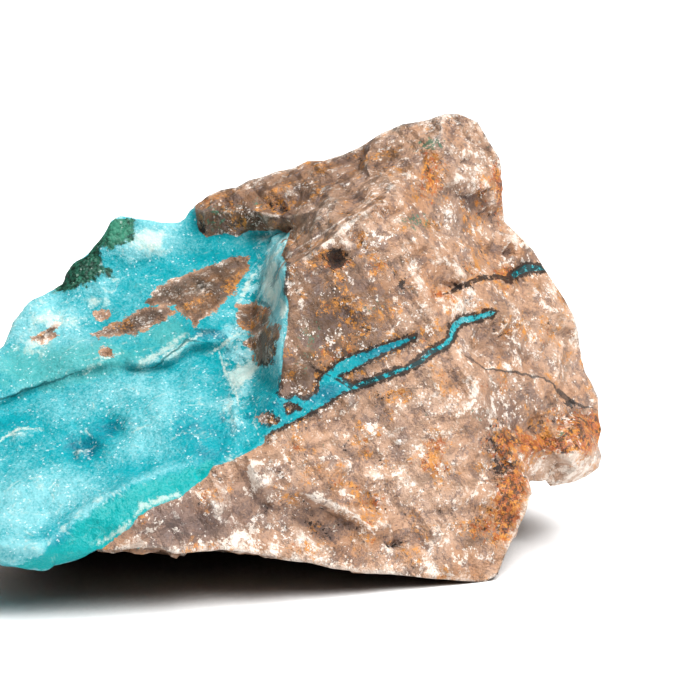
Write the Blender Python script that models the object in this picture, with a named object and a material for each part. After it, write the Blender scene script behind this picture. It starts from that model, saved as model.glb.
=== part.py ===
"""Chrysocolla with malachite: one hand specimen of quartz, broken along a blue-green vein.

The stone is one grown piece, so it is one solid.  Its corners are plotted the way a field
sketch plots them: across and up on a sight plane, as an eye in front of the stone sees them,
and back, the depth behind the corner that the stone rests on.  All lengths here are
millimetres, and the mesh is written in metres.
"""

import math

import bmesh
import bpy
from mathutils import Vector, geometry, noise

MM = 0.001

# The sight plane: its middle, how far in front of it the eye is, and how far the eye looks down.
SIGHT_CENTRE = Vector((0.0, 5.2, 22.6))
SIGHT_DISTANCE = 330.0
SIGHT_TILT = math.radians(13.0)

# The four broken faces that the eye sees, each as back = start + per_across * across + per_up * up.
FRONT_FACE = (4.9, 0.37, 0.43)  # the large quartz face, leaning back and turned to the right
VEIN_SHEET = (7.0, -0.17, 1.25)  # the bared vein, rising away from the eye at 30 degrees
FLANK_FACE = (-2.4, 1.07, 0.81)  # the right flank, falling away behind the front face
ROOF_FACE = (-21.3, -1.12, 2.49)  # the top, nearly level from front to back and rising to the right

LONGEST_EDGE = 2.6  # of a triangle
REFINE_ROUNDS = 5  # each one halves the long edges
REST_LEVEL = 0.05  # corners lower than this belong to the face that the stone rests on
EASE_HEIGHT = 2.0  # over this height the roughness grows from nothing to its full depth
WELD = 0.05  # corners nearer than this are one

# Roughness of the broken surface.
CHIP_SIZES = ((7.0, 0.34), (3.4, 0.26))  # width of the chips, and how far each one is tilted
VEIN_CHIPPING = 0.25  # chrysocolla breaks smoothly, so its chips are this much of the quartz's
VEIN_DEPTH = 2.4  # how near the vein's plane its smooth skin lies
BLOCK_SIDE = -7.6  # across this line, to the left, the vein is bare
CELL_SPREAD = 9.7  # sends neighbouring chips to unlike cells of the noise
HALF = Vector((0.5, 0.5, 0.5))
SWELL_SIZE = 9.0
SWELL_HEIGHT = 0.35


def on(face, across, up, proud=0.0):
    """A corner that lies on one of the broken faces, or stands proud of it towards the eye."""
    start, per_across, per_up = face
    return across, up, start + per_across * across + per_up * up - proud


# The outline, clockwise from the corner that the stone rests on.
FRONT_FOOT = [
    (13.5, -23.2, 0.0), on(FRONT_FACE, 11.0, -23.0), on(FRONT_FACE, 8.0, -22.8),
    on(FRONT_FACE, 4.0, -22.3), on(FRONT_FACE, 0.0, -21.8), on(FRONT_FACE, -4.0, -21.1),
    on(FRONT_FACE, -7.8, -20.4), on(FRONT_FACE, -10.6, -20.1), on(FRONT_FACE, -13.0, -19.8),
    on(FRONT_FACE, -14.6, -20.2), on(FRONT_FACE, -17.5, -20.2), on(FRONT_FACE, -20.5, -19.9),
    (-23.2, -19.8, -11.4),
]
RIM_FOOT = [
    (-25.2, -20.0, -12.0), (-27.2, -20.5, -12.6), (-29.5, -21.0, -13.0), (-32.5, -21.4, -13.3),
    (-36.0, -21.4, -13.2), (-39.0, -20.6, -12.2), (-41.5, -18.6, -10.2),
]
LEFT_END = [
    (-43.2, -15.4, -7.4), (-43.6, -12.0, -4.6), (-43.0, -8.6, -1.4), (-41.4, -5.6, 2.2),
    (-39.0, -2.6, 6.4), (-36.6, -0.6, 10.6),
]
LEFT_SKYLINE = [
    (-34.8, 0.5, 13.6), (-34.0, 2.4, 15.4), (-32.6, 4.6, 17.2), (-30.6, 5.8, 19.0),
    (-29.0, 6.9, 20.4),
]
MALACHITE_SKYLINE = [
    (-28.6, 8.2, 21.2), (-27.4, 9.4, 21.6), (-26.0, 9.9, 22.2), (-25.4, 11.4, 22.8),
    (-24.2, 13.1, 23.4), (-23.0, 13.7, 23.8), (-21.4, 13.4, 24.2),
]
SADDLE_SKYLINE = [(-19.0, 12.9, 24.6), (-17.0, 12.9, 25.2), (-15.7, 14.2, 26.0)]
ROOF_SKYLINE = [
    (-14.0, 15.4, 26.6), (-11.5, 16.6, 27.2), (-8.8, 17.5, 27.6), (-5.8, 18.2, 28.0),
    (-2.6, 19.0, 28.0), (-0.8, 19.6, 28.0), (1.0, 20.4, 27.8), (3.2, 21.3, 27.4), (5.4, 22.1, 27.0),
    (7.4, 23.0, 26.6), (9.4, 23.7, 26.2), (10.9, 23.8, 26.2),
]
RIGHT_SKYLINE = [
    (12.8, 22.8, 26.0), (14.2, 21.1, 25.8), (14.9, 19.2, 25.8), (15.3, 17.2, 25.8),
    (15.4, 15.0, 26.0), (15.6, 12.9, 25.8), (16.4, 11.4, 25.4), (17.9, 9.7, 25.0),
    (19.0, 7.8, 24.6), (19.8, 6.3, 24.2), (21.0, 4.9, 23.8), (22.2, 3.1, 23.2), (23.2, 0.6, 22.4),
    (24.0, -2.0, 21.8), (24.6, -4.8, 20.4), (25.3, -6.9, 19.2),
]
LOBE_OUTLINE = [
    (25.5, -8.1, 18.4), (24.8, -9.4, 17.2), (25.1, -10.6, 17.0), (24.8, -11.8, 16.6),
    (23.3, -12.5, 15.6), (21.0, -13.1, 13.6), (18.9, -13.8, 10.8), (18.3, -14.2, 7.4),
]
RIGHT_FOOT = [
    on(FRONT_FACE, 17.9, -14.6), on(FRONT_FACE, 17.2, -16.4), on(FRONT_FACE, 16.6, -18.8),
    on(FRONT_FACE, 15.9, -20.8), (14.8, -22.5, 0.5),
]
OUTLINE = (
    FRONT_FOOT + RIM_FOOT + LEFT_END + LEFT_SKYLINE + MALACHITE_SKYLINE + SADDLE_SKYLINE
    + ROOF_SKYLINE + RIGHT_SKYLINE + LOBE_OUTLINE + RIGHT_FOOT
)

# Arrises and ledges that the eye sees, each one chain of corners.
PEAK = on(FRONT_FACE, 2.5, 14.5)
BROW_END = on(FRONT_FACE, -6.5, 7.9)
BLOCK_TOE = on(FRONT_FACE, -7.2, -4.6)
RIM_START = on(VEIN_SHEET, -13.4, -8.4)
SUMMIT_FOOT = (9.0, 21.4, 23.0)
SCARP_END = (-5.6, 12.4, 18.6)

BROW = [
    BROW_END, on(FRONT_FACE, -4.3, 9.3), on(FRONT_FACE, -2.0, 11.0), on(FRONT_FACE, 0.4, 12.9),
    PEAK,
]
RIGHT_ARRIS = [
    PEAK, on(FRONT_FACE, 3.4, 12.4), on(FRONT_FACE, 5.0, 9.8, 0.3), on(FRONT_FACE, 6.9, 6.3, 0.3),
    on(FRONT_FACE, 9.5, 2.0), on(FRONT_FACE, 11.4, -1.4, 0.4), on(FRONT_FACE, 13.6, -5.2, 0.4),
    on(FRONT_FACE, 15.4, -8.8, 0.2), on(FRONT_FACE, 16.8, -11.8), RIGHT_FOOT[0],
]
CREST = [
    PEAK, (4.8, 16.8, 16.6), (7.2, 19.3, 20.4), SUMMIT_FOOT, (10.4, 22.2, 24.6), (12.4, 20.8, 24.6),
]
FAR_ARRIS = [
    (12.4, 20.8, 24.6), (13.6, 17.8, 24.6), (14.1, 14.8, 24.4), (14.9, 12.2, 24.0),
    (16.8, 9.4, 23.8),
]
BLOCK_ARRIS = [
    BLOCK_TOE, on(FRONT_FACE, -6.9, -2.6, 0.2), on(FRONT_FACE, -6.6, 0.6, 0.2),
    on(FRONT_FACE, -6.3, 4.0), BROW_END,
]
FLANK_FOOT = [
    BLOCK_TOE, on(VEIN_SHEET, -9.4, -2.4), on(VEIN_SHEET, -10.0, 1.0), on(VEIN_SHEET, -9.8, 5.0),
    on(VEIN_SHEET, -8.6, 8.6), SCARP_END,
]
SCARP_FOOT = [
    SCARP_END, on(VEIN_SHEET, -8.0, 11.6), on(VEIN_SHEET, -11.2, 11.3, 0.4),
    on(VEIN_SHEET, -14.3, 11.4), on(VEIN_SHEET, -15.2, 12.4),
]
SCARP_TOP = [
    SCARP_END, (-7.4, 13.4, 19.8), (-9.6, 13.9, 21.6), (-12.2, 13.9, 22.8), (-14.4, 13.8, 24.0),
]
VEIN_FOOT = [
    FRONT_FOOT[-1], on(FRONT_FACE, -21.8, -17.6, 0.3), on(FRONT_FACE, -19.4, -15.5, 0.3),
    on(FRONT_FACE, -16.8, -14.7, 0.3), on(FRONT_FACE, -14.1, -12.4, 0.2),
    on(FRONT_FACE, -11.8, -11.0, 0.2), on(FRONT_FACE, -8.5, -8.9, 0.1), on(FRONT_FACE, -5.2, -6.9),
]
RIM_CREST = [
    (-31.6, -19.8, -13.2), (-28.8, -18.9, -12.0), (-26.4, -16.8, -10.4), (-23.6, -15.2, -8.8),
    (-21.6, -13.8, -7.6), (-18.6, -12.2, -5.8), (-15.8, -10.8, -4.4), RIM_START,
    on(VEIN_SHEET, -10.4, -6.2, 0.3), BLOCK_TOE,
]
RIM_LEFT = [
    (-31.6, -19.8, -13.2), (-35.4, -19.4, -12.6), (-38.6, -17.8, -11.0), (-41.0, -14.6, -8.2),
    (-41.8, -10.6, -4.4),
]
LEDGE_TOP = [
    (-41.8, -10.6, -4.4), on(VEIN_SHEET, -38.6, -7.0, 0.8), on(VEIN_SHEET, -35.0, -5.0, 1.0),
    on(VEIN_SHEET, -32.0, -3.6, 1.1), on(VEIN_SHEET, -28.8, -2.4, 1.1),
    on(VEIN_SHEET, -26.2, -1.6, 1.1), on(VEIN_SHEET, -23.4, -1.0, 1.2),
    on(VEIN_SHEET, -20.4, -1.4, 1.4), on(VEIN_SHEET, -18.2, -0.9, 1.6),
    on(VEIN_SHEET, -16.0, 0.6, 1.6), on(VEIN_SHEET, -13.4, 0.9, 1.2),
    on(VEIN_SHEET, -11.4, 1.2, 0.6),
]
LEDGE_FOOT = [
    on(VEIN_SHEET, -38.4, -7.6, -0.2), on(VEIN_SHEET, -34.8, -5.6, -0.5),
    on(VEIN_SHEET, -31.8, -4.2, -0.6), on(VEIN_SHEET, -28.6, -3.0, -0.6),
    on(VEIN_SHEET, -26.0, -2.2, -0.5), on(VEIN_SHEET, -23.2, -1.7, -0.4),
    on(VEIN_SHEET, -20.2, -2.1, -0.4), on(VEIN_SHEET, -17.6, -1.6, -0.4),
    on(VEIN_SHEET, -15.6, -0.2, -0.3), on(VEIN_SHEET, -13.0, 0.1, -0.2),
]
MALACHITE_FOOT = [
    (-29.0, 6.9, 20.4), (-27.0, 6.9, 19.6), (-25.4, 7.4, 19.6), (-25.2, 9.0, 20.8),
    (-24.6, 10.4, 21.6), (-22.8, 10.8, 22.0), (-22.2, 12.2, 22.8), (-21.4, 13.4, 24.2),
]
FLAKE_EDGE = [
    on(FRONT_FACE, -9.8, -10.8, 0.3), on(FRONT_FACE, -8.2, -13.2, 0.5),
    on(FRONT_FACE, -5.2, -14.6, 0.7), on(FRONT_FACE, -2.0, -15.8, 0.8),
    on(FRONT_FACE, 0.6, -17.2, 0.8), on(FRONT_FACE, 2.8, -18.8, 0.5),
    on(FRONT_FACE, 4.6, -20.8, 0.2),
]
FLAKE_HOLLOW = [
    on(FRONT_FACE, -9.0, -15.4, -0.7), on(FRONT_FACE, -5.6, -16.8, -0.8),
    on(FRONT_FACE, -2.2, -18.2, -0.6),
]
CRACK = [
    on(FRONT_FACE, 9.5, 2.0), on(FLANK_FACE, 11.6, -0.4, 0.5), on(FLANK_FACE, 13.4, -1.8, 0.6),
    on(FLANK_FACE, 15.4, -2.2, 0.6), on(FLANK_FACE, 18.4, -2.6, 0.5),
    on(FLANK_FACE, 20.4, -3.6, 0.4), on(FLANK_FACE, 22.2, -5.0, 0.2),
]
LOBE_SHELF = [
    on(FLANK_FACE, 16.0, -9.4, 0.4), on(FLANK_FACE, 18.6, -9.9, 1.0),
    on(FLANK_FACE, 21.0, -10.2, 1.2), on(FLANK_FACE, 23.0, -10.0, 0.8), (24.8, -9.4, 17.2),
]
SEEN_LINES = (
    BROW, RIGHT_ARRIS, CREST, FAR_ARRIS, BLOCK_ARRIS, FLANK_FOOT, SCARP_FOOT, SCARP_TOP, VEIN_FOOT,
    RIM_CREST, RIM_LEFT, LEDGE_TOP, LEDGE_FOOT, MALACHITE_FOOT, FLAKE_EDGE, FLAKE_HOLLOW, CRACK,
    LOBE_SHELF,
)
# Single corners that swell or hollow the faces between those lines.
SEEN_CORNERS = [
    on(VEIN_SHEET, -33.0, -12.5, 0.9), on(VEIN_SHEET, -27.5, -10.0, 1.2),
    on(VEIN_SHEET, -21.5, -7.5, 1.0), on(VEIN_SHEET, -16.5, -5.0, 0.9),
    on(VEIN_SHEET, -37.0, -13.0, 0.6), on(VEIN_SHEET, -30.5, -15.6, 0.8),
    on(VEIN_SHEET, -29.0, 1.6, 0.2), on(VEIN_SHEET, -24.0, 3.4, -0.4),
    on(VEIN_SHEET, -19.0, 4.6, 0.3), on(VEIN_SHEET, -14.0, 6.0, 0.9),
    on(VEIN_SHEET, -18.0, 9.4, -0.4), on(VEIN_SHEET, -13.0, 9.2, 0.2),
    on(VEIN_SHEET, -22.0, 7.6, -0.2), (-26.8, 8.2, 20.2), (-23.6, 12.0, 22.2),
    on(FRONT_FACE, -1.0, 5.0, 0.5), on(FRONT_FACE, 3.5, 3.0, 0.3), on(FRONT_FACE, -2.5, -1.5, 0.2),
    on(FRONT_FACE, 5.0, -6.0, 0.6), on(FRONT_FACE, 9.5, -12.0, 0.4),
    on(FRONT_FACE, 1.0, -11.0, 0.2), on(FRONT_FACE, 12.5, -17.5, -0.5),
    on(FRONT_FACE, 7.0, -18.0, 0.3), on(FRONT_FACE, -15.5, -17.0, 0.4),
    on(FLANK_FACE, 8.5, 13.5, 0.5), on(FLANK_FACE, 12.0, 7.5, 0.8), on(FLANK_FACE, 17.0, 2.5, 0.4),
    on(FLANK_FACE, 19.5, -6.5, -0.2), on(ROOF_FACE, -3.5, 14.0, 0.6), on(ROOF_FACE, 2.0, 17.4, 0.4),
    on(FLANK_FACE, 24.6, -8.0),
]

# The side away from the eye, in plain x, y and z.  The stone rests on the corners whose z is 0.
REST_EDGE = [
    (13.5, 0.0, 0.0), (8.0, 3.4, 0.0), (3.0, 6.6, 0.0), (-7.0, 11.4, 0.0), (-17.0, 13.2, 0.0),
    (-24.0, 13.0, 0.0), (-29.5, 10.4, 0.0), (-31.0, 14.0, 0.0), (-27.0, 20.5, 0.0),
    (-16.0, 25.5, 0.0), (-3.0, 27.5, 0.0), (8.0, 26.5, 0.0), (14.8, 20.5, 0.0), (15.4, 13.5, 0.0),
    (14.6, 7.0, 0.0), (13.5, 0.0, 0.0),
]
BACK_ARRIS = [
    (-37.5, 9.5, 12.0), (-32.0, 19.0, 11.0), (-24.0, 27.5, 12.5), (-10.0, 34.5, 11.0),
    (6.0, 35.5, 13.5), (17.0, 31.0, 12.5), (23.5, 24.0, 12.0),
]
BACK_BROW = [
    (-28.5, 24.5, 24.0), (-19.5, 30.5, 27.0), (-8.0, 34.0, 29.5), (4.0, 33.5, 33.5),
    (13.0, 30.5, 33.0), (20.5, 28.0, 25.0),
]
HIDDEN_LINES = (REST_EDGE, BACK_ARRIS, BACK_BROW)
HIDDEN_CORNERS = [
    (-38.0, 0.0, 6.0), (-34.0, -5.0, 3.6), (-22.0, 1.0, 3.0), (-8.0, 3.0, 2.4), (-14.0, 33.0, 20.0),
    (2.0, 36.0, 23.0), (13.0, 33.0, 22.0), (22.5, 19.0, 6.5), (19.0, 12.0, 5.0),
    (-26.0, 26.5, 18.0),
]

# Small round forms, each with its middle, its width, and how far it stands out or, below 0, is sunk.
HOLLOWS_AND_KNOBS = [
    (on(FRONT_FACE, -1.2, 9.2), 2.4, -0.7),  # iron-stained vug under the brow
    (on(FRONT_FACE, 15.0, -11.6), 3.0, -0.8),  # rusty, weathered strip down the right arris
    (on(FRONT_FACE, 16.6, -15.0), 2.8, -0.8),
    (on(FRONT_FACE, 15.8, -18.2), 3.0, -0.7),
    (on(FLANK_FACE, 5.6, 8.4, 0.2), 2.4, -0.5),
    (on(VEIN_SHEET, -26.8, -9.2, 1.2), 3.4, -0.7),  # two dark pockets in the chrysocolla
    (on(VEIN_SHEET, -23.6, -7.8, 1.0), 2.8, -0.6),
    ((-27.2, 7.6, 19.6), 4.0, 0.7),  # malachite crusts on the far edge of the vein
    ((-23.9, 11.8, 21.9), 3.6, 0.6),
]


def sight_axes():
    """Directions across, along and up the sight plane."""
    along = Vector((0.0, math.cos(SIGHT_TILT), -math.sin(SIGHT_TILT)))
    up = Vector((0.0, math.sin(SIGHT_TILT), math.cos(SIGHT_TILT)))
    return Vector((1.0, 0.0, 0.0)), along, up


def place(corner):
    """The point in space that the eye sees at across and up, at the depth back."""
    across, up, back = corner
    side, along, rise = sight_axes()
    eye = SIGHT_CENTRE - along * SIGHT_DISTANCE
    ray = along * SIGHT_DISTANCE + side * across + rise * up
    return eye + ray * ((back - eye.y) / ray.y)


def plot(point):
    """Across and up on the sight plane, where the eye sees this point."""
    side, along, rise = sight_axes()
    offset = point - SIGHT_CENTRE
    nearness = SIGHT_DISTANCE / (SIGHT_DISTANCE + offset.dot(along))
    return Vector((offset.dot(side) * nearness, offset.dot(rise) * nearness))


def skin(bm, outline, lines, corners):
    """Adds one side of the stone: a net of triangles that fills the outline and keeps every line."""
    points = []
    index = {}

    def number(point):
        key = tuple(round(c, 3) for c in point)
        if key not in index:
            index[key] = len(points)
            points.append(point)
        return index[key]

    ring = [number(p) for p in outline]
    edges = list(zip(ring, ring[1:] + ring[:1]))
    for line in lines:
        chain = [number(p) for p in line]
        edges += zip(chain, chain[1:])
    for corner in corners:
        number(corner)
    flat = [plot(p) for p in points]
    net = geometry.delaunay_2d_cdt(flat, edges, [], 1, 1e-5)
    crossings = [tuple(spot) for spot, made in zip(net[0], net[3]) if not made]
    if crossings:
        raise ValueError(f"lines cross at {crossings}")
    if len(net[0]) != len(points):
        raise ValueError("two corners are plotted at one place")
    sources = [origins[0] for origins in net[3]]
    verts = {s: bm.verts.new(points[s]) for s in sources}
    for triangle in net[2]:
        bm.faces.new([verts[sources[i]] for i in triangle])


def refine(bm, longest):
    """Splits long edges until every triangle is small, and keeps the arrises where they are."""
    for _ in range(REFINE_ROUNDS):
        long_edges = [e for e in bm.edges if e.calc_length() > longest]
        if not long_edges:
            return
        bmesh.ops.subdivide_edges(bm, edges=long_edges, cuts=1)
        bmesh.ops.triangulate(bm, faces=[f for f in bm.faces if len(f.verts) > 3])


def chipped(point, size, tilt):
    """Height of a surface broken into flat chips: each chip has a tilt of its own."""
    spot = point / size
    middle = noise.voronoi(spot)[1][0]
    lean = noise.cell_vector(middle * CELL_SPREAD) - HALF
    return (spot - middle).dot(lean) * size * tilt


def is_bare_vein(point):
    """Whether the point is on the bared vein, where the surface is smooth."""
    spot = plot(point)
    start, per_across, per_up = VEIN_SHEET
    gap = point.y - (start + per_across * spot.x + per_up * spot.y)
    return spot.x < BLOCK_SIDE and abs(gap) < VEIN_DEPTH


def roughness(point):
    """How far the broken surface stands out at this point."""
    height = noise.noise(point / SWELL_SIZE) * SWELL_HEIGHT
    share = VEIN_CHIPPING if is_bare_vein(point) else 1.0
    for size, tilt in CHIP_SIZES:
        height += chipped(point, size, tilt) * share
    return height


def round_forms(point, forms):
    """How far the small hollows and knobs move the surface at this point."""
    height = 0.0
    for middle, width, rise in forms:
        share = 1.0 - (point - middle).length / (width / 2.0)
        if share > 0.0:
            height += rise * math.sqrt(share)
    return height


def roughen(bm):
    """Breaks the smooth faces into chips and hollows, and leaves the resting face flat."""
    forms = [(place(corner), width, rise) for corner, width, rise in HOLLOWS_AND_KNOBS]
    bm.normal_update()
    moves = []
    for vert in bm.verts:
        ease = min(1.0, max(0.0, vert.co.z - REST_LEVEL) / EASE_HEIGHT)
        height = roughness(vert.co) + round_forms(vert.co, forms)
        moves.append((vert, vert.normal * height * ease))
    for vert, move in moves:
        vert.co += move
        vert.co.z = max(vert.co.z, 0.0)


def stone_mesh():
    """The whole stone in metres, its origin under the middle of its box, on the surface it rests on."""
    bm = bmesh.new()
    outline = [place(c) for c in OUTLINE]
    seen = [[place(c) for c in line] for line in SEEN_LINES]
    skin(bm, outline, seen, [place(c) for c in SEEN_CORNERS])
    hidden = [[Vector(c) for c in line] for line in HIDDEN_LINES]
    skin(bm, outline, hidden, [Vector(c) for c in HIDDEN_CORNERS])
    bmesh.ops.remove_doubles(bm, verts=bm.verts, dist=WELD)
    bmesh.ops.recalc_face_normals(bm, faces=bm.faces)
    refine(bm, LONGEST_EDGE)
    roughen(bm)
    low = Vector([min(v.co[i] for v in bm.verts) for i in range(3)])
    high = Vector([max(v.co[i] for v in bm.verts) for i in range(3)])
    middle = (low + high) / 2.0
    for vert in bm.verts:
        vert.co = (vert.co - Vector((middle.x, middle.y, 0.0))) * MM
    bmesh.ops.recalc_face_normals(bm, faces=bm.faces)
    mesh = bpy.data.meshes.new("chrysocolla_specimen")
    bm.to_mesh(mesh)
    bm.free()
    return mesh


def stone_material():
    """Blue-green mineral over grey-brown quartz, here as one plain colour."""
    material = bpy.data.materials.new("chrysocolla_on_quartz")
    material.use_nodes = True
    shader = material.node_tree.nodes["Principled BSDF"]
    shader.inputs["Base Color"].default_value = (0.30, 0.42, 0.40, 1.0)
    shader.inputs["Roughness"].default_value = 0.6
    return material


def main():
    for obj in list(bpy.data.objects):
        bpy.data.objects.remove(obj)
    mesh = stone_mesh()
    mesh.materials.append(stone_material())
    bpy.context.scene.collection.objects.link(bpy.data.objects.new("chrysocolla_specimen", mesh))


main()
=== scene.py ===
"""Looks of one hand specimen: grey-brown quartz broken along a vein of blue-green chrysocolla,
with dark green malachite crusts and iron stains.

Lengths in the lists below are millimetres.  What follows the stone's markings is plotted as a field
sketch is: (across, up) on a sight plane, as an eye in front of the stone sees them.
"""

import math
from functools import cached_property

import bpy
import numpy as np
from bpy.props import FloatProperty, FloatVectorProperty, PointerProperty
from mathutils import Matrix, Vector
from mathutils.bvhtree import BVHTree


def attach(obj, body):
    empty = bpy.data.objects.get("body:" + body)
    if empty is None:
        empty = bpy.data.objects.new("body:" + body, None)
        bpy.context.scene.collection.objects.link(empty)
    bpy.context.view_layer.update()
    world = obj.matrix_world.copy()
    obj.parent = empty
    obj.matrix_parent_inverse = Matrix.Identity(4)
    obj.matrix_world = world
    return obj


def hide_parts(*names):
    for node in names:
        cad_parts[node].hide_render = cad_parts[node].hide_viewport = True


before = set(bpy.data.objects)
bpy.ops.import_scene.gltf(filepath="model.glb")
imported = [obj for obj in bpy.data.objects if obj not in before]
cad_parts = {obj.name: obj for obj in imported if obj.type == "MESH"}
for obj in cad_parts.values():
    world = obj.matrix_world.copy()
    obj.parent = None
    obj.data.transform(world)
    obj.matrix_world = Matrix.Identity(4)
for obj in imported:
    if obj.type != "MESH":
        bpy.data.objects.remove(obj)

bl_info = {
    "name": "Chrysocolla specimen",
    "version": (1, 0, 0),
    "blender": (4, 5, 0),
    "location": "View3D > Sidebar > Specimen",
    "description": "Builds the surface and stage of a chrysocolla hand specimen",
    "category": "Object",
}

MM = 0.001
NODE = "chrysocolla_specimen"
SURFACE = "stone_surface"
BODY = "root"

# The way each family of splits in the quartz faces, and how wide apart they lie.
CLEAVAGE = (
    (0.82, 0.31, 0.48, 1.0), (-0.37, 0.74, 0.56, 1.31), (0.28, -0.55, 0.79, 0.83),
    (0.63, 0.2, -0.75, 1.17), (-0.71, -0.44, 0.55, 0.91), (0.12, 0.91, -0.4, 1.43),
)
CLEAVAGE_BEND = 0.96  # how far noise bends those that only the material shows

# The sight plane: its middle, how far in front of it the eye is, and how far the eye looks down.
SIGHT_CENTRE = np.array((7.966, -6.314, 22.6))
SIGHT_DISTANCE = 330.0
SIGHT_TILT = math.radians(13.0)
SIGHT_WIDTH = 70.0  # of the sight plane, across the whole view
ALONG = np.array((0.0, math.cos(SIGHT_TILT), -math.sin(SIGHT_TILT)))
RISE = np.array((0.0, math.sin(SIGHT_TILT), math.cos(SIGHT_TILT)))
EYE = SIGHT_CENTRE - ALONG * SIGHT_DISTANCE

# The vein's own plane, for the sides that the eye doesn't see: a point on it, and its normal.
VEIN_POINT = np.array((7.966, -11.514, 18.05))
VEIN_NORMAL = np.array((-0.118, -0.505, 0.855))
VEIN_THICKNESS = (5.5, 0.6)  # at the left end and at the right end of the stone
VEIN_ENDS = (-34.0, 34.0)
VEIN_TOP = (4.0, 1.2)  # how far it rises over that plane, left of the block and beside it
VEIN_SHOULDER = (-15.0, -5.0)  # between these two its top drops from the one to the other
# Waves in its lower and its upper edge: (x, y, z) of the way each runs, its start and its height.
LOWER_WAVES = ((0.31, 0.2, 0.0, 0.0, 0.7), (-0.47, 0.23, 0.0, 2.0, 0.42), (1.1, 0.0, 0.7, 0.0, 0.28))
UPPER_WAVES = ((0.27, -0.18, 0.0, 1.0, 0.5), (0.8, 0.5, 0.0, 0.0, 0.25), (-1.0, 0.0, 1.7, 0.0, 0.15))
UPPER_START = 7.0  # how far along its seam the upper branch begins
CHOKED_END = 11.0  # how far along the lower branch dark grains choke it
UNSEEN = -50.0  # half the width of a seam where it isn't seen
OFF_LINE = -1.0  # a depth outside every thin line
VEIN_REACH = 9.0  # depths in the vein are kept up to this, and those in other areas up to the next
AREA_REACH = 5.0
HIDDEN_LINING = 0.8  # how much of the vein's dark lining there is on the sides not seen
SEEN_SLACK = 0.7  # how far behind the first surface a point may lie and still be seen
LINING_START = -4.6  # the vein has a dark lining to the right of this
LINING_FOOT = -9.0  # and below LINING_TOP it starts here already
LINING_TOP = -3.6

# Relief.
REST_HEIGHT = 0.1  # below this height the stone stays as flat as the solid
EASE_HEIGHT = 1.5  # and over this much more height the relief grows to its full depth
EDGE_REACH = 0.3  # broken quartz passes into waxy vein this far to each side of the edge
SMOOTHING = {"waxy": 10, "eased": 90}  # rounds of smoothing on each part of the vein
FACET_LAYERS = ((3.6, 0.8), (1.7, 0.9), (0.8, 0.8))  # times the facet size, and share of the tilt
CREST_ROUNDS = 12
# How near the vein's edge, a seam and a smaller marking the triangles are at their smallest.
FINE_EDGE = 0.7
FINE_SEAM = 0.8
FINE_MARKING = 0.4
SEAM_SPENT = -0.2  # a seam's width runs on below 0 past its end, and still counts down to this
LINE_END = 0.1  # how far a thin line reaches past its two ends

# Stage: the way each light travels, its width in degrees, and how far off the floor sees the stone for
# the shadow painted on it.
OVERHEAD_HEADING = (-0.4, 0.05, -1.0)
OVERHEAD_WIDTH = 46.0
FRONT_HEADING = (-0.5, 0.62, -1.0)
FRONT_WIDTH = 30.0
SHADE_REACH = 12.0 * MM
FLOOR_SHADE = (0.022, 0.016, 0.012)
FLOOR_WHITE = (0.97, 0.97, 0.97)
WALL_WHITE = (0.965, 0.965, 0.965)
LIGHT_WHITE = (1.0, 1.0, 1.0)
GLOW = 1.6 * MM  # how far light spreads in the vein

# Outline of the bared vein, and of its upper branch across the block, clockwise.
VEIN_AREA = (
    (-60.0, -40.0), (-60.0, 30.0), (-15.5, 30.0), (-15.5, 14.2), (-15.1, 11.9), (-14.3, 11.3),
    (-12.4, 11.7), (-11.4, 11.3), (-10.1, 11.9), (-7.2, 12.0), (-6.0, 11.7), (-6.8, 9.5),
    (-6.3, 8.7), (-6.6, 5.8), (-6.1, 4.8), (-6.3, 2.0), (-6.6, 0.6), (-6.9, -2.6), (-7.2, -4.5),
    (-6.4, -4.9), (-5.4, -4.5), (-4.6, -5.1), (-3.2, -4.2), (-3.0, -2.9), (-2.2, -2.1),
    (-1.0, -1.1), (1.0, -0.3), (3.0, 0.4), (4.9, 1.0), (6.6, 1.45), (6.5, 1.15), (4.9, 0.3),
    (3.0, -0.5), (1.0, -1.6), (-1.1, -2.6), (0.3, -3.5), (0.1, -4.0), (-1.1, -4.5),
    (-2.2, -5.3), (-3.8, -6.2), (-5.4, -7.0), (-7.0, -7.8), (-8.5, -8.6), (-8.5, -9.3),
    (-10.0, -10.1), (-11.9, -11.1), (-13.8, -11.7), (-14.2, -12.5), (-15.6, -13.6),
    (-17.0, -14.8), (-19.5, -15.6), (-21.1, -16.6), (-21.9, -17.7), (-24.8, -19.9),
    (-25.5, -40.0),
)
# Patches of brown quartz that stand in the vein.
ISLANDS = (
    (
        (-10.2, 9.4), (-12.7, 8.9), (-15.8, 7.6), (-19.4, 6.0), (-20.5, 4.7), (-18.0, 4.5),
        (-16.0, 3.6), (-15.6, 2.5), (-14.2, 3.6), (-11.6, 5.8), (-10.2, 8.5),
    ),
    (
        (-25.8, 1.6), (-24.3, 1.4), (-21.6, 1.8), (-19.4, 2.7), (-17.6, 3.8), (-18.5, 4.3),
        (-20.7, 4.0), (-22.5, 3.1), (-23.4, 2.7),
    ),
    ((-11.2, 4.3), (-9.4, 4.6), (-8.2, 4.0), (-8.4, 2.2), (-9.6, 1.7), (-11.0, 2.6)),
    ((-7.2, 2.6), (-7.6, 0.4), (-8.1, -1.3), (-9.2, -1.3), (-9.4, -0.2), (-10.2, 0.5), (-8.8, 2.0)),
    ((-31.6, 1.2), (-30.2, 2.2), (-29.2, 2.4), (-29.8, 1.4), (-31.0, 0.9)),
    ((-25.4, 3.5), (-24.0, 3.7), (-24.2, 3.2), (-25.2, 3.1)),
    ((-24.8, -0.1), (-24.0, -0.2), (-23.8, -0.5), (-24.6, -0.5)),
    ((-6.4, -5.5), (-5.2, -5.5), (-5.0, -5.9), (-6.2, -5.9)),
    ((-9.1, -6.8), (-8.2, -6.6), (-7.1, -6.9), (-7.8, -7.4), (-8.9, -7.3)),
)
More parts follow.
